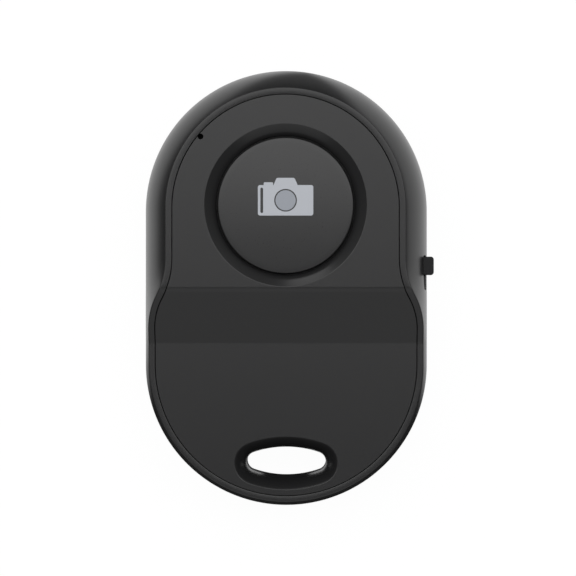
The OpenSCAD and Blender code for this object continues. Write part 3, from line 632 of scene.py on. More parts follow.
@dataclass(frozen=True)
class Form:
    """Outline of the body and of its stepped face, in millimetres."""

    width: float = 32
    length: float = 49.4
    head_h: float = 11
    tail_h: float = 7
    part_h: float = 4.5
    face_inset: float = 2.58
    face_shift: float = 0.25
    slope_top: float = -0.2
    slope_l: float = 6
    neck_top: float = 3.2
    neck_l: float = 8
    neck_sink: float = 0.15
    soft_crease: float = 1.2
    crisp_crease: float = 0.25
    crease_steps: int = 6
    round_steps: int = 72
    side_step: float = 0.25

    @property
    def half(self) -> float:
        """Half of the width."""
        return self.width / 2

    @property
    def head_y(self) -> float:
        """Place of the head's centre; the tail's lies as far the other way."""
        return (self.length - self.width) / 2

    @property
    def face_y(self) -> float:
        """Place of the centre of the face's round head."""
        return self.head_y + self.face_shift

    @property
    def face_r(self) -> float:
        """Radius of the face's round head."""
        return self.half - self.face_inset

    @property
    def tail_r(self) -> float:
        """Radius of the face's round tail.

        Returns:
            The radius, at which the head's side curve meets the tail's height.
        """
        side_r = arc_radius(self.head_h - self.part_h, self.face_inset)
        drop = self.tail_h - self.part_h
        return self.half - side_r + math.sqrt(side_r ** 2 - drop ** 2) - self.neck_sink

    @property
    def neck_angle(self) -> float:
        """Angle that each arc of the neck turns."""
        return 2 * math.atan((self.tail_r - self.face_r) / self.neck_l)

    @property
    def neck_r(self) -> float:
        """Radius of each arc of the neck."""
        return self.neck_l / (2 * math.sin(self.neck_angle))

    @property
    def slope_angle(self) -> float:
        """Angle of the slope against the face."""
        return math.atan((self.head_h - self.tail_h) / self.slope_l)

    def creases(self) -> list[tuple[float, float, float, float]]:
        """The two bends of the slope.

        Returns:
            Upper end, lower end, place of the arc's centre and radius of each, the radius below zero
            where the bend is hollow.
        """
        lean = math.tan(self.slope_angle / 2)
        flat_share = math.cos(self.slope_angle)
        top, bottom = self.slope_top, self.slope_top - self.slope_l
        soft, crisp = self.soft_crease * lean, self.crisp_crease * lean
        return [(top + soft, top - soft * flat_share, top + soft, self.soft_crease),
                (bottom + crisp * flat_share, bottom - crisp, bottom - crisp, -self.crisp_crease)]

    def rows(self) -> list[float]:
        """Places along the body of the lines that the two bends need."""
        return [y for high, low, _, _ in self.creases() for y in spread(high, low, self.crease_steps)]

    def deck(self, x: float, y: float) -> float:
        """Height of the face over a place.

        Args:
            x: The place from side to side; not used, as the face is level across.
            y: The place along the body.

        Returns:
            The height.
        """
        for high, low, centre, radius in self.creases():
            if low <= y <= high:
                sag = abs(radius) - math.sqrt(radius ** 2 - (y - centre) ** 2)
                return self.head_h - sag if radius > 0 else self.tail_h + sag
        slope = self.head_h - (self.slope_top - y) * math.tan(self.slope_angle)
        return min(self.head_h, max(self.tail_h, slope))

    def side(self, y: float) -> tuple[Vector, Vector]:
        """Edge of the face on the right.

        Args:
            y: Place along the body.

        Returns:
            The place on the edge and the way out there.
        """
        upper, lower = self.neck_top, self.neck_top - self.neck_l
        if y >= upper:
            return Vector((self.face_r, y)), Vector((1, 0))
        if y <= lower:
            return Vector((self.tail_r, y)), Vector((1, 0))
        over = y > (upper + lower) / 2
        turn = math.asin((upper - y if over else y - lower) / self.neck_r)
        step = self.neck_r * (1 - math.cos(turn))
        x = self.face_r + step if over else self.tail_r - step
        return Vector((x, y)), Vector((math.cos(turn), math.sin(turn)))

    def quadrant(self, first: int, start: float, body_y: float, face_y: float,
                 face_r: float) -> list[Station]:
        """Places along one quarter of a round end, on the right.

        Args:
            first: Number of its first step.
            start: Angle that its steps are counted from, in degrees.
            body_y: Where along the body the centre of its round end lies.
            face_y: Where along the body the centre of the face's round end lies.
            face_r: Radius of the face's round end.

        Returns:
            The places, turning to the left.
        """
        places = []
        for k in range(first, self.round_steps + first):
            a = math.radians(start + 90 * k / self.round_steps)
            out = Vector((math.cos(a), math.sin(a)))
            places.append(Station(out * self.half + Vector((0, body_y)),
                                  out * face_r + Vector((0, face_y)), out))
        return places

    def stations(self) -> list[Station]:
        """Places round the whole body.

        Returns:
            The places, turning to the left from the middle of the tail's end.
        """
        right = self.quadrant(0, -90, -self.head_y, -self.head_y, self.tail_r)
        straight = self.face_y + self.head_y
        places = spread(-self.head_y, self.face_y, round(straight / self.side_step))
        for y in sorted({round(place, PLACE_DIGITS) for place in places + self.rows()}):
            share = (y + self.head_y) / straight
            right.append(Station(Vector((self.half, (2 * share - 1) * self.head_y)), *self.side(y)))
        right += self.quadrant(1, 0, self.head_y, self.face_y, self.face_r)
        left = [Station(*(Vector((-v.x, v.y)) for v in (s.body, s.face, s.out))) for s in right[-2:0:-1]]
        return right + left

    def face_loop(self, inset: float) -> list[Flat]:
        """Outline of the face, drawn in by an inset."""
        return [tuple(s.face - s.out * inset) for s in self.stations()]


@dataclass(frozen=True)
class Slot:
    """The cord slot through the tail, in millimetres."""

    y: float = -19.8
    width: float = 9
    height: float = 3.35
    end_r: float = 1.1
    bevel: float = 1.33
    steps: int = 16

    def loop(self, grow: float) -> list[Flat]:
        """Outline of the slot.

        Args:
            grow: How far it is grown outwards.

        Returns:
            Points round it, turning to the left.
        """
        half = self.height / 2
        end_x = self.width / 2 - self.end_r
        side_r = (end_x ** 2 / (half - self.end_r) + self.end_r + half) / 2
        drop = side_r - half
        turn = math.degrees(math.atan2(drop, end_x))
        end, side = self.end_r + grow, side_r + grow
        curves = (((end_x, self.y), end, -turn, turn), ((0, self.y - drop), side, turn, 180 - turn),
                  ((-end_x, self.y), end, 180 - turn, 180 + turn),
                  ((0, self.y + drop), side, 180 + turn, 360 - turn))
        return [point for curve in curves for point in arc(*curve, self.steps)[:-1]]


@dataclass(frozen=True)
class Button:
    """Place and sizes that the button and its well share, in millimetres."""

    y: float = 9.25
    cap_r: float = 7.58
    gap: float = 0.22
    well_r: float = 9.1
    well_z: float = 9.95
    collar_z: float = 9.2
    collar_r: float = 9.4
    cap_z: float = 10.7
    steps: int = 192

    @property
    def centre(self) -> Flat:
        """Place of the button's axis."""
        return (0, self.y)

    @property
    def throat_r(self) -> float:
        """Radius of the opening that the cap stands in."""
        return self.cap_r + self.gap


@dataclass
class FrontShell:
    """Front shell: the curved side wall, the rim of the face and the gate of the power knob."""

    form: Form = field(default_factory=Form)
    rim: float = 0.68
    wall: float = 1.2
    pocket: float = 1.0
    ledge: float = 0.8
    ledge_inset: float = 1.8
    edge_round: float = 0.22
    seam_round: float = 0.06
    part_break: float = 0.05
    arc_steps: int = 14
    edge_steps: int = 5
    lip_steps: int = 3
    inner_steps: int = 4
    gate_low: Flat = (-0.2, 6.2)
    gate_high: Flat = (3.7, 7.5)
    gate_round: float = 0.3
    gate_steps: int = 6

    def column(self, s: Station) -> list[tuple[float, float, float]]:
        """Section of the shell at one place round the body.

        Args:
            s: The place.

        Returns:
            Corners of the closed section.
        """
        form = self.form
        run = s.face - s.body
        inward = run.normalized()
        rise = form.deck(*s.face) - form.part_h
        radius = arc_radius(rise, run.length)
        lean = math.asin(rise / radius)

        def on_side(turn: float, deeper: float = 0) -> tuple[float, float, float]:
            """Place on the side curve, or deeper inside it."""
            flat = s.body + inward * (radius * (1 - math.cos(turn)) + deeper)
            return (*flat, form.part_h + radius * math.sin(turn))

        def on_face(inset: float, down: float = 0) -> tuple[float, float, float]:
            """Place on the face, or below it."""
            flat = s.face - s.out * inset
            return (*flat, form.deck(*flat) - down)

        reach = rounding_reach(self.edge_round, lean)
        first, last = self.part_break / radius, lean - reach / radius
        outer = [on_side(turn) for turn in spread(first, last, self.arc_steps)]
        edge = bend(outer[-1], on_face(0), on_face(reach), self.edge_steps)[1:]
        lip = bend(on_face(self.rim - self.seam_round), on_face(self.rim),
                   on_face(self.rim, self.seam_round), self.lip_steps)
        shelf = [on_face(self.rim, self.pocket), on_face(self.ledge_inset, self.pocket),
                 on_face(self.ledge_inset, self.pocket + self.ledge)]
        under = math.asin(min(1, (rise - self.pocket - self.ledge) / radius))
        inner = [on_side(turn, self.wall) for turn in spread(under, 0, self.inner_steps)]
        foot = (*(s.body + inward * self.part_break), form.part_h)
        return [foot, *outer, *edge, *lip, *shelf, *inner]

    def build(self) -> list[bpy.types.Object]:
        """Makes the shell and cuts the knob's gate into its side.

        Returns:
            The shell, as a list of one piece.
        """
        maker = Maker()
        columns = [maker.ring(self.column(s)) for s in self.form.stations()]
        for here, there in zip(columns, columns[1:] + columns[:1]):
            maker.join(here, there)
        piece = maker.piece("front_shell_moulded", SHELL, "case")
        r = self.gate_round
        (y0, z0), (y1, z1) = self.gate_low, self.gate_high
        corners = ((y1 - r, z1 - r), (y0 + r, z1 - r), (y0 + r, z0 + r), (y1 - r, z0 + r))
        outline = [point for k, corner in enumerate(corners)
                   for point in arc(corner, r, 90 * k, 90 * k + 90, self.gate_steps)]
        gate = Maker()
        gate.prism(*([(x, y, z) for y, z in outline]
                     for x in (self.form.half - 2 * self.wall, self.form.half + CLEAR)))
        carve(piece, gate)
        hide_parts("front_shell")
        return [piece]


@dataclass
class FacePanel:
    """Face panel: the deck with its slope, the conical well, the cord slot and the lamp's pin-hole."""

    form: Form = field(default_factory=Form)
    button: Button = field(default_factory=Button)
    slot: Slot = field(default_factory=Slot)
    inset: float = 0.74
    thick: float = 1.0
    seam_round: float = 0.06
    well_round: float = 0.12
    foot_round: float = 0.1
    round_steps: int = 4
    small_steps: int = 3
    side_share: float = 0.9
    lining_z: float = 2.9
    lining_grow: float = 1.23
    funnel_d: float = 3.5
    funnel_turn: float = 1.55
    funnel_round: float = 0.06
    funnel_steps: int = 16
    lamp_r: float = 0.315
    lamp_angle: float = 140
    lamp_inset: float = 1.01
    lamp_z: float = 9.6
    lamp_break: float = 0.03
    lamp_steps: int = 32

    @property
    def well_slope(self) -> float:
        """Angle of the well's cone against the deck."""
        return math.atan2(self.form.head_h - self.button.well_z, self.button.well_r - self.button.throat_r)

    @property
    def lip(self) -> float:
        """How far the rounding of the well's edge reaches out over the deck."""
        return self.well_round * math.tan(self.well_slope / 2)

    def lamp_hole(self) -> Maker:
        """Shape of the pin-hole that the lamp shines through, beside the seam.

        Returns:
            The shape.
        """
        reach = self.form.face_r - self.lamp_inset
        turn = math.radians(self.lamp_angle)
        place = (reach * math.cos(turn), self.form.face_y + reach * math.sin(turn))
        top, wide = self.form.head_h, self.lamp_r + self.lamp_break
        hole = Maker()
        hole.revolve(place, [(0, self.lamp_z), (self.lamp_r, self.lamp_z),
                             (self.lamp_r, top - self.lamp_break), (wide, top), (wide, top + CLEAR),
                             (0, top + CLEAR)], self.lamp_steps)
        return hole

    def well(self) -> Profile:
        """Steps of the well: its rounded edge, its cone, the soft foot of the cone and the throat.

        Returns:
            How far in and how far down each step lies from where the edge begins to round.
        """
        lip, soft = self.lip, self.foot_round
        across, down = math.cos(self.well_slope), math.sin(self.well_slope)
        run = lip + (self.button.well_r - self.button.throat_r)
        drop = self.form.head_h - self.button.well_z
        edge = bend((0, 0), (lip, 0), (lip * (1 + across), lip * down), self.round_steps)[1:]
        foot = bend((run - soft * across, drop - soft * down), (run, drop), (run, drop + soft),
                    self.small_steps)
        return [*edge, *foot, (run, self.form.head_h - self.button.collar_z)]

    def funnel(self) -> Profile:
        """Steps of the slot's rounded mouth, from the deck down into the lining.

        Returns:
            How far in and how far down each step lies from where the mouth begins to round.
        """
        reach, depth, lip = self.slot.bevel, self.funnel_d, self.funnel_round
        mouth = bend((0, 0), (reach, self.funnel_turn), (reach, depth), self.funnel_steps)
        edge = bend((0, 0), (lip, 0), (lip + mouth[1][0], mouth[1][1]), self.small_steps)[1:]
        wall = [(lip + out, down) for out, down in mouth[2:]]
        return [*edge, *wall, (reach + lip, self.form.tail_h - self.lining_z)]

    def build(self) -> list[bpy.types.Object]:
        """Makes the panel as one closed solid.

        Returns:
            The panel, as a list of one piece.
        """
        form, button, slot = self.form, self.button, self.slot
        maker = Maker()
        tops = maker.sheet([form.face_loop(self.inset + self.seam_round),
                            circle(button.centre, button.well_r + self.lip, button.steps),
                            slot.loop(slot.bevel + self.funnel_round)], form.deck, form.rows())
        side = maker.border(tops[0], [*quarter(self.seam_round, self.round_steps),
                                      (self.seam_round, self.side_share * self.thick)])
        throat = maker.border(tops[1], self.well(), button.centre)
        mouth = maker.border(tops[2], self.funnel())
        under = maker.sheet([form.face_loop(self.inset),
                             circle(button.centre, button.collar_r, button.steps),
                             slot.loop(self.lining_grow)],
                            lambda x, y: form.deck(x, y) - self.thick, form.rows())
        maker.stitch(side, under[0])
        for ring, top, low, end in ((under[1], form.head_h, button.collar_z, throat),
                                    (under[2], form.tail_h, self.lining_z, mouth)):
            maker.stitch(maker.border(ring, [(0, top - self.thick - low)]), end)
        piece = maker.piece("face_panel_moulded", PANEL, "case")
        carve(piece, self.lamp_hole(), form.deck)
        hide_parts("face_panel")
        return [piece]


@dataclass
class RearShell:
    """Rear shell: the curved back, the recess of the battery door and the joining lip."""

    form: Form = field(default_factory=Form)
    slot: Slot = field(default_factory=Slot)
    back_inset: float = 2.6
    floor: float = 1.2
    wall: float = 1.2
    part_break: float = 0.05
    flat_round: float = 0.3
    lip_r: float = 14.65
    lip_t: float = 0.6
    lip_top: float = 5.05
    lip_root: float = 3.42
    lip_step: float = 0.01
    recess_r: float = 12.3
    recess_z: float = 0.675
    hub_r: float = 10.95
    gate_r: float = 12.0
    gate_angle: float = 28
    gate_places: tuple[float, ...] = (50, 170, 290)
    gate_steps: int = 12
    hub_steps: int = 30
    slot_break: float = 0.4
    recess_round: float = 0.1
    recess_steps: int = 192
    boss: float = 0.75
    boss_z: float = 2.85
    arc_steps: int = 12
    flat_steps: int = 4
    inner_rings: int = 8
    round_steps: int = 3

    @property
    def curve_r(self) -> float:
        """Radius of the back curve."""
        return arc_radius(self.form.part_h, self.back_inset)

    def back_curve(self) -> Profile:
        """Outside of the shell, from the seam down to the flat back.

        Returns:
            How far in from the body's widest line and how high each point lies.
        """
        part_h, radius = self.form.part_h, self.curve_r
        lean = math.asin(part_h / radius)
        reach = rounding_reach(self.flat_round, lean)
        first, last = self.part_break / radius, lean - reach / radius
        curve = [(radius * (1 - math.cos(turn)), part_h - radius * math.sin(turn))
                 for turn in spread(first, last, self.arc_steps)]
        flat = bend(curve[-1], (self.back_inset, 0), (self.back_inset + reach, 0), self.flat_steps)
        return [(self.part_break, part_h), *curve, *flat[1:]]

    def inside(self) -> Profile:
        """Inside of the shell, from the seam over the joining lip down to the floor.

        Returns:
            How far in from the body's widest line and how high each point lies.
        """
        part_h, radius = self.form.part_h, self.curve_r
        out = self.form.half - self.lip_r
        lip = [(out, part_h), (out, self.lip_top), (out + self.lip_t, self.lip_top),
               (out + self.lip_t, self.lip_root)]
        for z in np.linspace(self.lip_root - self.lip_step, self.floor, self.inner_rings):
            inset = radius - math.sqrt(max(0, radius ** 2 - (part_h - z) ** 2))
            lip.append((inset + self.wall, z))
        return lip

    def door_gates(self) -> list[Flat]:
        """Outline of the opening that the door's lugs pass through.

        Returns:
            Points round it, turning to the left.
        """
        centre = (0, self.form.head_y)
        apart = 360 / len(self.gate_places)
        points = []
        for place in self.gate_places:
            low, high = place - self.gate_angle / 2, place + self.gate_angle / 2
            points += arc(centre, self.gate_r, low, high, self.gate_steps)
            points += arc(centre, self.hub_r, high, low + apart, self.hub_steps)
        return points

    def build(self) -> list[bpy.types.Object]:
        """Makes the shell as one closed solid.

        Returns:
            The shell, as a list of one piece.
        """
        form, slot, maker = self.form, self.slot, Maker()
        stations = form.stations()

        def rings(profile: Profile) -> list[Ring]:
            """Rings round the body, one through each point of a profile."""
            return [maker.ring([(*(s.body - self.way_out(s) * inset), z) for s in stations])
                    for inset, z in profile]

        outside, inside = rings(self.back_curve()), rings(self.inside())
        loop = [*reversed(outside), *inside]
        for low, high in zip(loop, loop[1:]):
            maker.join(low, high)
        recess = circle((0, form.head_y), self.recess_r + self.recess_round, self.recess_steps)
        back = maker.sheet([outside[-1], recess, slot.loop(self.slot_break)], lambda x, y: 0)
        edge = [(out, -down) for out, down in quarter(self.recess_round, self.round_steps)]
        foot = maker.border(back[1], [*edge, (self.recess_round, -self.recess_z)])
        slot_low = maker.border(back[2], [(self.slot_break, -self.slot_break),
                                          (self.slot_break, -self.boss_z)])
        shelf = maker.sheet([foot[::-1] if turn_of(foot) < 0 else foot, self.door_gates()],
                            lambda x, y: self.recess_z)
        mouth = maker.border(shelf[1], [(0, self.recess_z - self.floor)])
        inner = maker.sheet([inside[-1], mouth, slot.loop(self.boss)], lambda x, y: self.floor)
        maker.stitch(maker.border(inner[2], [(0, self.floor - self.boss_z)]), slot_low)
        piece = maker.piece("rear_shell_moulded", SHELL, "case")
        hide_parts("rear_shell")
        return [piece]

    def way_out(self, s: Station) -> Vector:
        """Way out of the body's widest line.

        Args:
            s: The place on it.

        Returns:
            The way, of length 1.
        """
        head = self.form.head_y
        middle = Vector((0, min(head, max(-head, s.body.y))))
        return (s.body - middle).normalized()


@dataclass
class BatteryDoor:
    """Battery door with its lugs, its coin slot and two turn arrows."""

    form: Form = field(default_factory=Form)
    plate_r: float = 12.15
    hub_r: float = 10.8
    hub_wall: float = 0.6
    low_z: float = 0.1
    plate_z: float = 0.65
    floor_z: float = 1.1
    top_z: float = 1.85
    lug_r: float = 11.85
    lug_z: float = 1.25
    lug_angle: float = 24
    lug_places: tuple[float, ...] = (90, 210, 330)
    lug_round: float = 0.06
    lug_root: float = 0.2
    lug_steps: int = 12
    edge: float = 0.15
    edge_steps: int = 4
    plate_break: float = 0.05
    hub_break: float = 0.1
    coin_l: float = 12
    coin_w: float = 1.6
    coin_d: float = 0.55
    coin_over: float = 0.5
    coin_steps: int = 40
    arrow_r: float = 8.6
    arrow_w: float = 0.55
    arrow_d: float = 0.12
    arrow_angles: tuple[float, float, float] = (120, 68, 58)
    arrow_head: float = 3
    arrow_steps: int = 16
    steps: int = 192

    @property
    def centre(self) -> Flat:
        """Place of the door's axis."""
        return (0, self.form.head_y)

    def section(self) -> Profile:
        """Section of the door, from its flat outside round to the floor inside the hub.

        Returns:
            Radius and height of each point.
        """
        flat_r, inner = self.plate_r - self.edge, self.hub_r - self.hub_wall
        rim = [(flat_r + out, self.low_z + up) for out, up in quarter(self.edge, self.edge_steps)]
        return [*rim, (self.plate_r, self.plate_z - self.plate_break),
                (self.plate_r - self.plate_break, self.plate_z),
                (self.hub_r, self.plate_z), (self.hub_r, self.top_z - self.hub_break),
                (self.hub_r - self.hub_break, self.top_z), (inner + self.hub_break, self.top_z),
                (inner, self.top_z - self.hub_break), (inner, self.floor_z)]

    def build(self) -> list[bpy.types.Object]:
        """Makes the door, its lugs and the cuts in its outside.

        Returns:
            The door, as a list of one piece.
        """
        maker = Maker()
        flat_r = self.plate_r - self.edge
        outside = maker.sheet([circle(self.centre, flat_r, self.steps)], lambda x, y: self.low_z)[0]
        maker.sheet([maker.border(outside, [(r - flat_r, self.low_z - z) for r, z in self.section()])])
        for place in self.lug_places:
            low, high = place - self.lug_angle / 2, place + self.lug_angle / 2
            outline = (arc(self.centre, self.lug_r - self.lug_round, low, high, self.lug_steps)
                       + arc(self.centre, self.hub_r - self.lug_root, high, low, self.lug_steps))
            maker.plate(outline, self.lug_z, self.top_z, self.lug_round)
        piece = maker.piece("battery_door_moulded", SHELL, "door")
        for cutter in (self.coin_cutter(), self.arrow_cutter(0), self.arrow_cutter(180)):
            carve(piece, cutter, lambda x, y: self.low_z)
        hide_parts("battery_door")
        return [piece]

    def coin_cutter(self) -> Maker:
        """Shape of the coin slot: a slice of a large disc.

        Returns:
            The shape.
        """
        ball = arc_radius(self.coin_l / 2, self.coin_d)
        half = self.coin_l / 2 + self.coin_over
        reach = math.degrees(math.asin(half / ball))
        curve = arc((0, self.low_z + self.coin_d - ball), ball, 90 + reach, 90 - reach, self.coin_steps)
        outline = [*curve, (half, -2 * CLEAR), (-half, -2 * CLEAR)]
        cutter = Maker()
        cutter.prism(*([(x, self.centre[1] + side * self.coin_w / 2, z) for x, z in outline]
                       for side in (-1, 1)))
        return cutter

    def arrow_cutter(self, turn: float) -> Maker:
        """Shape of one engraved turn arrow, seen from behind.

        Args:
            turn: How far it is turned about the door's axis, in degrees.

        Returns:
            The shape.
        """
        start, end, tip = (angle + turn for angle in self.arrow_angles)
        half = self.arrow_w / 2
        wide = self.arrow_head * half

        def corner(out: float, angle: float) -> Flat:
            """Corner of the arrow's head, so far out from its middle line."""
            return arc(self.centre, self.arrow_r + out, angle, angle, 1)[0]

        outline = (arc(self.centre, self.arrow_r + half, start, end, self.arrow_steps)
                   + [corner(wide, end), corner(0, tip), corner(-wide, end)]
                   + arc(self.centre, self.arrow_r - half, end, start, self.arrow_steps))
        cutter = Maker()
        ring = cutter.sheet([outline], lambda x, y: self.low_z + self.arrow_d)[0]
        cutter.sheet([cutter.border(ring, [(0, CLEAR)])])
        return cutter


@dataclass
class ShutterButton:
    """Round button cap with its crown, flange and stem."""

    button: Button = field(default_factory=Button)
    crown: float = 0.2
    edge: float = 0.12
    groove: float = 0.08
    under_z: float = 9.5
    wall: float = 0.9
    flange_r: float = 8.5
    flange_z: float = 8.65
    flange_top: float = 9.15
    stem_r: float = 1.6
    stem_z: float = 7.975
    stem_break: float = 0.1
    flange_break: float = 0.05
    groove_over: float = 0.04
    crown_rings: int = 14
    edge_steps: int = 6

    @property
    def ball_r(self) -> float:
        """Radius of the ball that forms the crown."""
        return arc_radius(self.button.cap_r, self.crown)

    def top(self, x: float, y: float) -> float:
        """Height of the crown over a place."""
        reach = x ** 2 + (y - self.button.y) ** 2
        return self.button.cap_z - self.ball_r + math.sqrt(self.ball_r ** 2 - reach)

    def build(self) -> list[bpy.types.Object]:
        """Makes the button as one closed solid.

        Returns:
            The button, as a list of one piece.
        """
        b = self.button
        inner, flat_r = b.cap_r - self.wall, b.cap_r - self.edge
        crown = [(r, self.top(r, b.y)) for r in np.linspace(0, flat_r, self.crown_rings)]
        edge = [(flat_r + out, crown[-1][1] - down) for out, down in quarter(self.edge, self.edge_steps)]
        skirt = [(b.cap_r, self.flange_top - self.groove), (b.throat_r + self.groove_over, self.flange_top),
                 (self.flange_r - self.flange_break, self.flange_top),
                 (self.flange_r, self.flange_top - self.flange_break), (self.flange_r, self.flange_z),
                 (inner, self.flange_z), (inner, self.under_z), (self.stem_r, self.under_z),
                 (self.stem_r, self.stem_z + self.stem_break), (self.stem_r - self.stem_break, self.stem_z),
                 (0, self.stem_z)]
        maker = Maker()
        maker.revolve(b.centre, [*crown, *edge, *skirt], b.steps)
        piece = maker.piece("shutter_button_moulded", CAP, "button")
        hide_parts("shutter_button")
        return [piece]


@dataclass
class CameraMark:
    """Plain camera pictogram, printed on the button's crown."""

    cap: ShutterButton = field(default_factory=ShutterButton)
    width: float = 6.2
    lift_share: float = 0.09
    height_share: float = 0.55
    hump_share: Flat = (0.35, 0.13)
    hump_foot: float = 0.12
    hump_lean: float = 20
    bump_share: Flat = (0.17, 0.05)
    bump_place_share: float = -0.31
    lens_share: float = 0.205
    ring_share: float = 0.022
    grip_share: Flat = (0.05, 0.46)
    grip_place_share: float = -0.43
    corner_share: float = 0.04
    ink: float = 0.03
    grid_step: float = 0.37
    grid_share: float = 0.42
    corner_steps: int = 5
    grip_steps: int = 8
    lens_steps: int = 64

    def outline(self, centre: Flat) -> list[Flat]:
        """Outline of the camera's body with its hump and bump.

        Args:
            centre: Middle of the camera's body.

        Returns:
            Points round it, turning to the left.
        """
        w, r, lean, steps = self.width, self.width * self.corner_share, self.hump_lean, self.corner_steps
        x, y = w / 2, w * self.height_share / 2
        hump_x, hump_y = w * self.hump_share[0] / 2, y + w * self.hump_share[1]
        foot = hump_x + self.hump_foot * w * self.hump_share[0]
        bump_x, bump_y = w * self.bump_share[0] / 2, y + w * self.bump_share[1]
        bump = w * self.bump_place_share

        def at(across: float, up: float) -> Flat:
            """Place seen from the middle of the camera's body."""
            return (centre[0] + across, centre[1] + up)

        return [*arc(at(x - r, y - r), r, 0, 90, steps), at(foot, y),
                *arc(at(hump_x - r, hump_y - r), r, lean, 90, steps),
                *arc(at(r - hump_x, hump_y - r), r, 90, 180 - lean, steps), at(-foot, y),
                at(bump + bump_x, y),
                *arc(at(bump + bump_x - r / 2, bump_y - r / 2), r / 2, 0, 90, steps),
                *arc(at(bump - bump_x + r / 2, bump_y - r / 2), r / 2, 90, 180, steps), at(bump - bump_x, y),
                *arc(at(r - x, y - r), r, 90, 180, steps), *arc(at(r - x, r - y), r, 180, 270, steps),
                *arc(at(x - r, r - y), r, 270, 360, steps)]

    def grid(self, centre: Flat) -> list[Flat]:
        """Corners inside the print, so that it lies on the crown.

        Args:
            centre: Middle of the camera's body.

        Returns:
            Their places.
        """
        steps = np.arange(-self.width / 2, self.width / 2, self.grid_step)
        high = self.grid_share * self.width
        return [(centre[0] + x, centre[1] + y) for x in steps for y in steps if abs(y) < high]

    def build(self) -> list[bpy.types.Object]:
        """Makes the camera's body and its lens as two thin prints.

        Returns:
            The two prints.
        """
        w = self.width
        centre = (0, self.cap.button.y + w * self.lift_share)
        grip_x = w * self.grip_place_share
        half_w, half_h = (w * share / 2 for share in self.grip_share)
        grip = (arc((grip_x, centre[1] + half_h - half_w), half_w, 0, 180, self.grip_steps)
                + arc((grip_x, centre[1] - half_h + half_w), half_w, 180, 360, self.grip_steps))
        lens, glass = (circle(centre, w * share, self.lens_steps)
                       for share in (self.lens_share, self.lens_share - self.ring_share))
        pieces = []
        for name, finish, loops in (("camera_mark_print", INK, [self.outline(centre), grip, lens]),
                                    ("camera_mark_lens", LENS_INK, [glass])):
            maker = Maker()
            tops = maker.sheet(loops, lambda x, y: self.cap.top(x, y) + self.ink, spots=self.grid(centre))
            maker.sheet([maker.border(top, [(0, self.ink)]) for top in tops])
            pieces.append(maker.piece(name, finish, "button"))
        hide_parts("camera_mark")
        return pieces


@dataclass
class PowerKnob:
    """Slider of the power switch, with the knob that stands out of the side."""

    y: float = 2.5
    length: float = 2.1
    knob_x: Flat = (14.32, 16.7)
    knob_z: Flat = (6.35, 7.35)
    corner: float = 0.35
    edge: float = 0.14
    small_edge: float = 0.05
    steps: int = 8
    stem_w: float = 1.3
    stem_z: Flat = (6.575, 7.125)
    stem_root: Flat = (0.15, 0.2)
    block_x: Flat = (12.145, 13.895)
    block_l: float = 2.7
    block_z: Flat = (6.68, 7.35)

    def build(self) -> list[bpy.types.Object]:
        """Makes the knob, its stem and its block.

        Returns:
            The knob, as a list of one piece.
        """
        maker = Maker()
        e, half, r = self.edge, self.length / 2, self.corner
        x0, x1 = self.knob_x[0] + e, self.knob_x[1] - r
        outline = ([(x0, self.y + half - e), (x0, self.y - half + e)]
                   + arc((x1, self.y - half + r), r - e, -90, 0, self.steps)
                   + arc((x1, self.y + half - r), r - e, 0, 90, self.steps))
        maker.plate(outline, *self.knob_z, e)
        e = self.small_edge
        stem_x = (self.block_x[1] - self.stem_root[0], self.knob_x[0] + self.stem_root[1])
        for (x0, x1), wide, zs in ((self.block_x, self.block_l, self.block_z),
                                   (stem_x, self.stem_w, self.stem_z)):
            low, high, reach = x0 + e, x1 - e, wide / 2 - e
            maker.plate([(high, self.y - reach), (high, self.y + reach),
                         (low, self.y + reach), (low, self.y - reach)], *zs, e)
        piece = maker.piece("power_knob_moulded", KNOB, "power_knob")
        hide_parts("switch_slider")
        return [piece]


class InnerParts:
    """The nodes that stay as the frame has them, each with the finish of its slot."""

    def dress(self) -> list[str]:
        """Gives each node whose slot is one of the inner ones its finish.

        Returns:
            Names of the nodes that were dressed.
        """
        slots = {part["node"]: part["material_slot"] for part in frame["record"]["subparts"]}
        dressed = []
        for node, part in frame["nodes"].items():
            finish = INNER_FINISHES.get(slots[node])
            if finish is None:
                continue
            for slot in part.material_slots:
                slot.material = finish.material()
            dressed.append(node)
        return dressed


@dataclass(frozen=True)
class Softbox:
    """One soft light: a rectangle that faces the remote."""

    name: str
    place: tuple[float, float, float]
    target: tuple[float, float, float]
    wide: float
    high: float
    level: float

    def build(self) -> None:
        """Adds the light, at a level where 1 is white."""
        data = bpy.data.lights.new(self.name, "AREA")
        data.shape = "RECTANGLE"
        data.size, data.size_y = self.wide * MM, self.high * MM
        data.energy = self.level * math.pi * self.wide * self.high * MM ** 2
        lamp = bpy.data.objects.new(self.name, data)
        bpy.context.scene.collection.objects.link(lamp)
        lamp.location = Vector(self.place) * MM
        way = Vector(self.target) - Vector(self.place)
        lamp.rotation_euler = way.to_track_quat("-Z", "Y").to_euler()


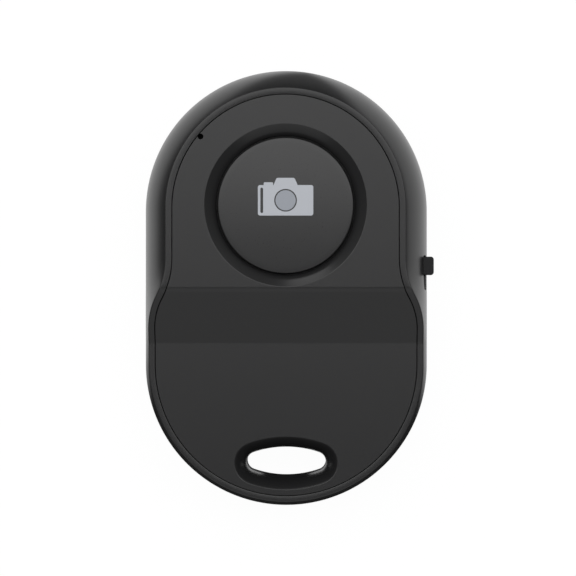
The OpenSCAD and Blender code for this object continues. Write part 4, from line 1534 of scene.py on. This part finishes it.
@dataclass
class Studio:
    """Pale floor, soft lights and the camera.

    The side walls mirror pools of light painted into the floor's glow for mirrored rays only, with a painted
    dark notch and a painted shade taken out of them. The cord slot mirrors two small painted gleams.
    """

    view_centre: Flat = (0.196, 0)
    camera_foot: Flat = (4.2, 0)
    camera_z: float = 334.5
    lens: float = 181
    sensor: float = 36
    sight: Flat = (0.01, 20)
    floor_size: float = 3000
    floor_z: float = -0.05
    paper_grey: float = 0.86
    world_grey: float = 0.12
    glow_share: float = 0.95
    paper_level: float = 1.02
    # Painted shade on the floor under the cord slot, seen only by mirrored rays.
    slot_painted_shade_centre: Flat = (0, -20)
    slot_painted_shade_half: Flat = (5.5, 3)
    # Pools of light painted into the floor's glow, seen only by mirrored rays; the side walls reflect them.
    painted_light_pools: tuple[tuple[Flat, Flat], ...] = (((20.5, 17.5), (58.5, 29.5)), ((75, 35), (45, 40)))
    # Painted dark notch in the pools at the head's end, so that the top wall mirrors shade.
    painted_notch_centre: Flat = (2.6, 46.5)
    painted_notch_half: Flat = (22.5, 20)
    painted_notch_share: float = 0.82
    pool_soft: Flat = (0.86, 1.14)
    # Painted gleams on the floor in the slot's shade, which the slot's mouth mirrors.
    painted_gleams: tuple[Flat, ...] = ((-3.1, -19.3), (3.0, -19.3))
    painted_gleam_half: Flat = (0.8, 0.8)
    softboxes: tuple[Softbox, ...] = (
        Softbox("overhead_light", (0, 468, 600), (0, 468, 0), 1800, 900, 1.69),
        Softbox("front_fill", (0, -385, 370), (0, 0, 5), 700, 600, 0.53),
        Softbox("corner_light", (-155, 475, 112), (0, 0, 10), 280, 120, 1.9),
    )

    def build(self) -> None:
        """Sets up the camera, the lights, the floor and the world."""
        scene = bpy.context.scene
        scene.view_settings.view_transform = "Standard"
        self.camera(scene)
        for softbox in self.softboxes:
            softbox.build()
        self.floor()
        self.world(scene)

    def camera(self, scene: bpy.types.Scene) -> None:
        """Puts the camera over the remote, at the photograph's angle.

        Args:
            scene: The scene that it is put in.
        """
        data = bpy.data.cameras.new("camera")
        data.lens, data.sensor_width = self.lens, self.sensor
        data.clip_start, data.clip_end = self.sight
        eye = bpy.data.objects.new("camera", data)
        scene.collection.objects.link(eye)
        place = Vector((*self.camera_foot, self.camera_z)) * MM
        target = Vector((*self.view_centre, Form.part_h)) * MM
        eye.location = place
        eye.rotation_euler = (0, -math.atan2((target - place).x, (place - target).z), 0)
        scene.camera = eye

    def floor(self) -> None:
        """Adds the pale floor, which keeps a faint shadow of the remote."""
        maker = Maker()
        half = self.floor_size / 2
        corners = [(-half, -half), (half, -half), (half, half), (-half, half)]
        maker.sheet([corners], lambda x, y: self.floor_z)
        mesh = maker.mesh("floor", closed=False)
        floor = bpy.data.objects.new("floor", mesh)
        bpy.context.scene.collection.objects.link(floor)
        mesh.materials.append(self.paper())

    def paper(self) -> bpy.types.Material:
        """Makes the floor's pale paper, with pools of light, a dark notch, shade and gleams painted round
        the remote for what is mirrored.

        Returns:
            The material.
        """
        material = bpy.data.materials.new("pale_floor")
        material.use_nodes = True
        shader = Shader(material.node_tree)
        shader.tree.nodes.clear()
        rays = shader.node("LightPath").outputs
        glossy = rays["Is Glossy Ray"]
        seen = shader.maths("MAXIMUM", rays["Is Camera Ray"], rays["Is Transmission Ray"])
        # Painted light: the pools, seen only by mirrored rays.
        lit = shader.maths("MAXIMUM", *(self.pool(shader, *pool) for pool in self.painted_light_pools))
        # Painted shade: a dark notch in the pools, which the top wall mirrors.
        painted_notch = self.pool(shader, self.painted_notch_centre, self.painted_notch_half, 1)
        # Painted shade under the cord slot darkens the pools too, along with the notch.
        for dark in (shader.maths("MULTIPLY", painted_notch, self.painted_notch_share),
                     self.pool(shader, self.slot_painted_shade_centre, self.slot_painted_shade_half)):
            lit = shader.maths("MULTIPLY", lit, shader.maths("SUBTRACT", 1, dark))
        # Painted gleams, seen only by mirrored rays through the cord slot.
        for centre in self.painted_gleams:
            lit = shader.maths("MAXIMUM", lit, self.pool(shader, centre, self.painted_gleam_half))
        level = shader.maths("MAXIMUM", shader.maths("MULTIPLY", seen, self.paper_level),
                             shader.maths("MULTIPLY", glossy, lit))
        share = shader.maths("MULTIPLY", shader.maths("MAXIMUM", seen, glossy), self.glow_share)
        sheet = shader.node("BsdfDiffuse", {"Color": grey(self.paper_grey)})
        shader.blend(share, sheet, shader.node("Emission", {"Strength": level}), "OutputMaterial")
        return material

    def pool(self, shader: Shader, centre: Flat, half: Flat, power: float = 4) -> Socket:
        """Adds a soft-edged pool on the floor: 1 inside it, 0 far from it.

        Args:
            shader: Tree of the material.
            centre: Middle of the pool, in millimetres.
            half: Half of its width and of its length.
            power: 1 for a pool with four straight sides on its corners, 4 for one with full corners.

        Returns:
            The socket with the level.
        """
        shift = shader.node("Mapping", {"Vector": shader.node("TexCoord").outputs["Object"],
                                        "Location": (centre[0] * MM, centre[1] * MM, 0),
                                        "Scale": (half[0] * MM, half[1] * MM, 1)})
        shift.vector_type = "TEXTURE"
        parts = shader.node("SeparateXYZ", {"Vector": shift.outputs["Vector"]}).outputs
        ways = [shader.maths("POWER", shader.maths("ABSOLUTE", parts[way]), power) for way in "XY"]
        reach = shader.maths("POWER", shader.maths("ADD", *ways), 1 / power)
        fade = shader.node("MapRange", {"Value": reach, "From Min": self.pool_soft[0],
                                        "From Max": self.pool_soft[1], "To Min": 1, "To Max": 0})
        fade.interpolation_type = "SMOOTHSTEP"
        return fade.outputs["Result"]

    def world(self, scene: bpy.types.Scene) -> None:
        """Sets the surroundings: white to the camera, a plain grey as light.

        Args:
            scene: The scene that they are set in.
        """
        world = bpy.data.worlds.new("studio")
        scene.world = world
        world.use_nodes = True
        shader = Shader(world.node_tree)
        shader.tree.nodes.clear()
        rays = shader.node("LightPath").outputs
        straight = shader.maths("MAXIMUM", rays["Is Camera Ray"], rays["Is Transmission Ray"])
        light, seen = (shader.node("Background", {"Color": grey(level)}) for level in (self.world_grey, 1))
        shader.blend(straight, light, seen, "OutputWorld")


def main() -> None:
    """Builds every piece in order."""
    logging.basicConfig(level=logging.INFO, format="%(message)s")
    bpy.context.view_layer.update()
    form, button, slot = Form(), Button(), Slot()
    cap = ShutterButton(button)
    for part in (FrontShell(form), FacePanel(form, button, slot), RearShell(form, slot), BatteryDoor(form),
                 cap, CameraMark(cap), PowerKnob()):
        for piece in part.build():
            log.info("%s: %d faces", piece.name, len(piece.data.polygons))
    for node in InnerParts().dress():
        log.info("%s: dressed", node)
    Studio().build()


if __name__ == "__main__":
    main()
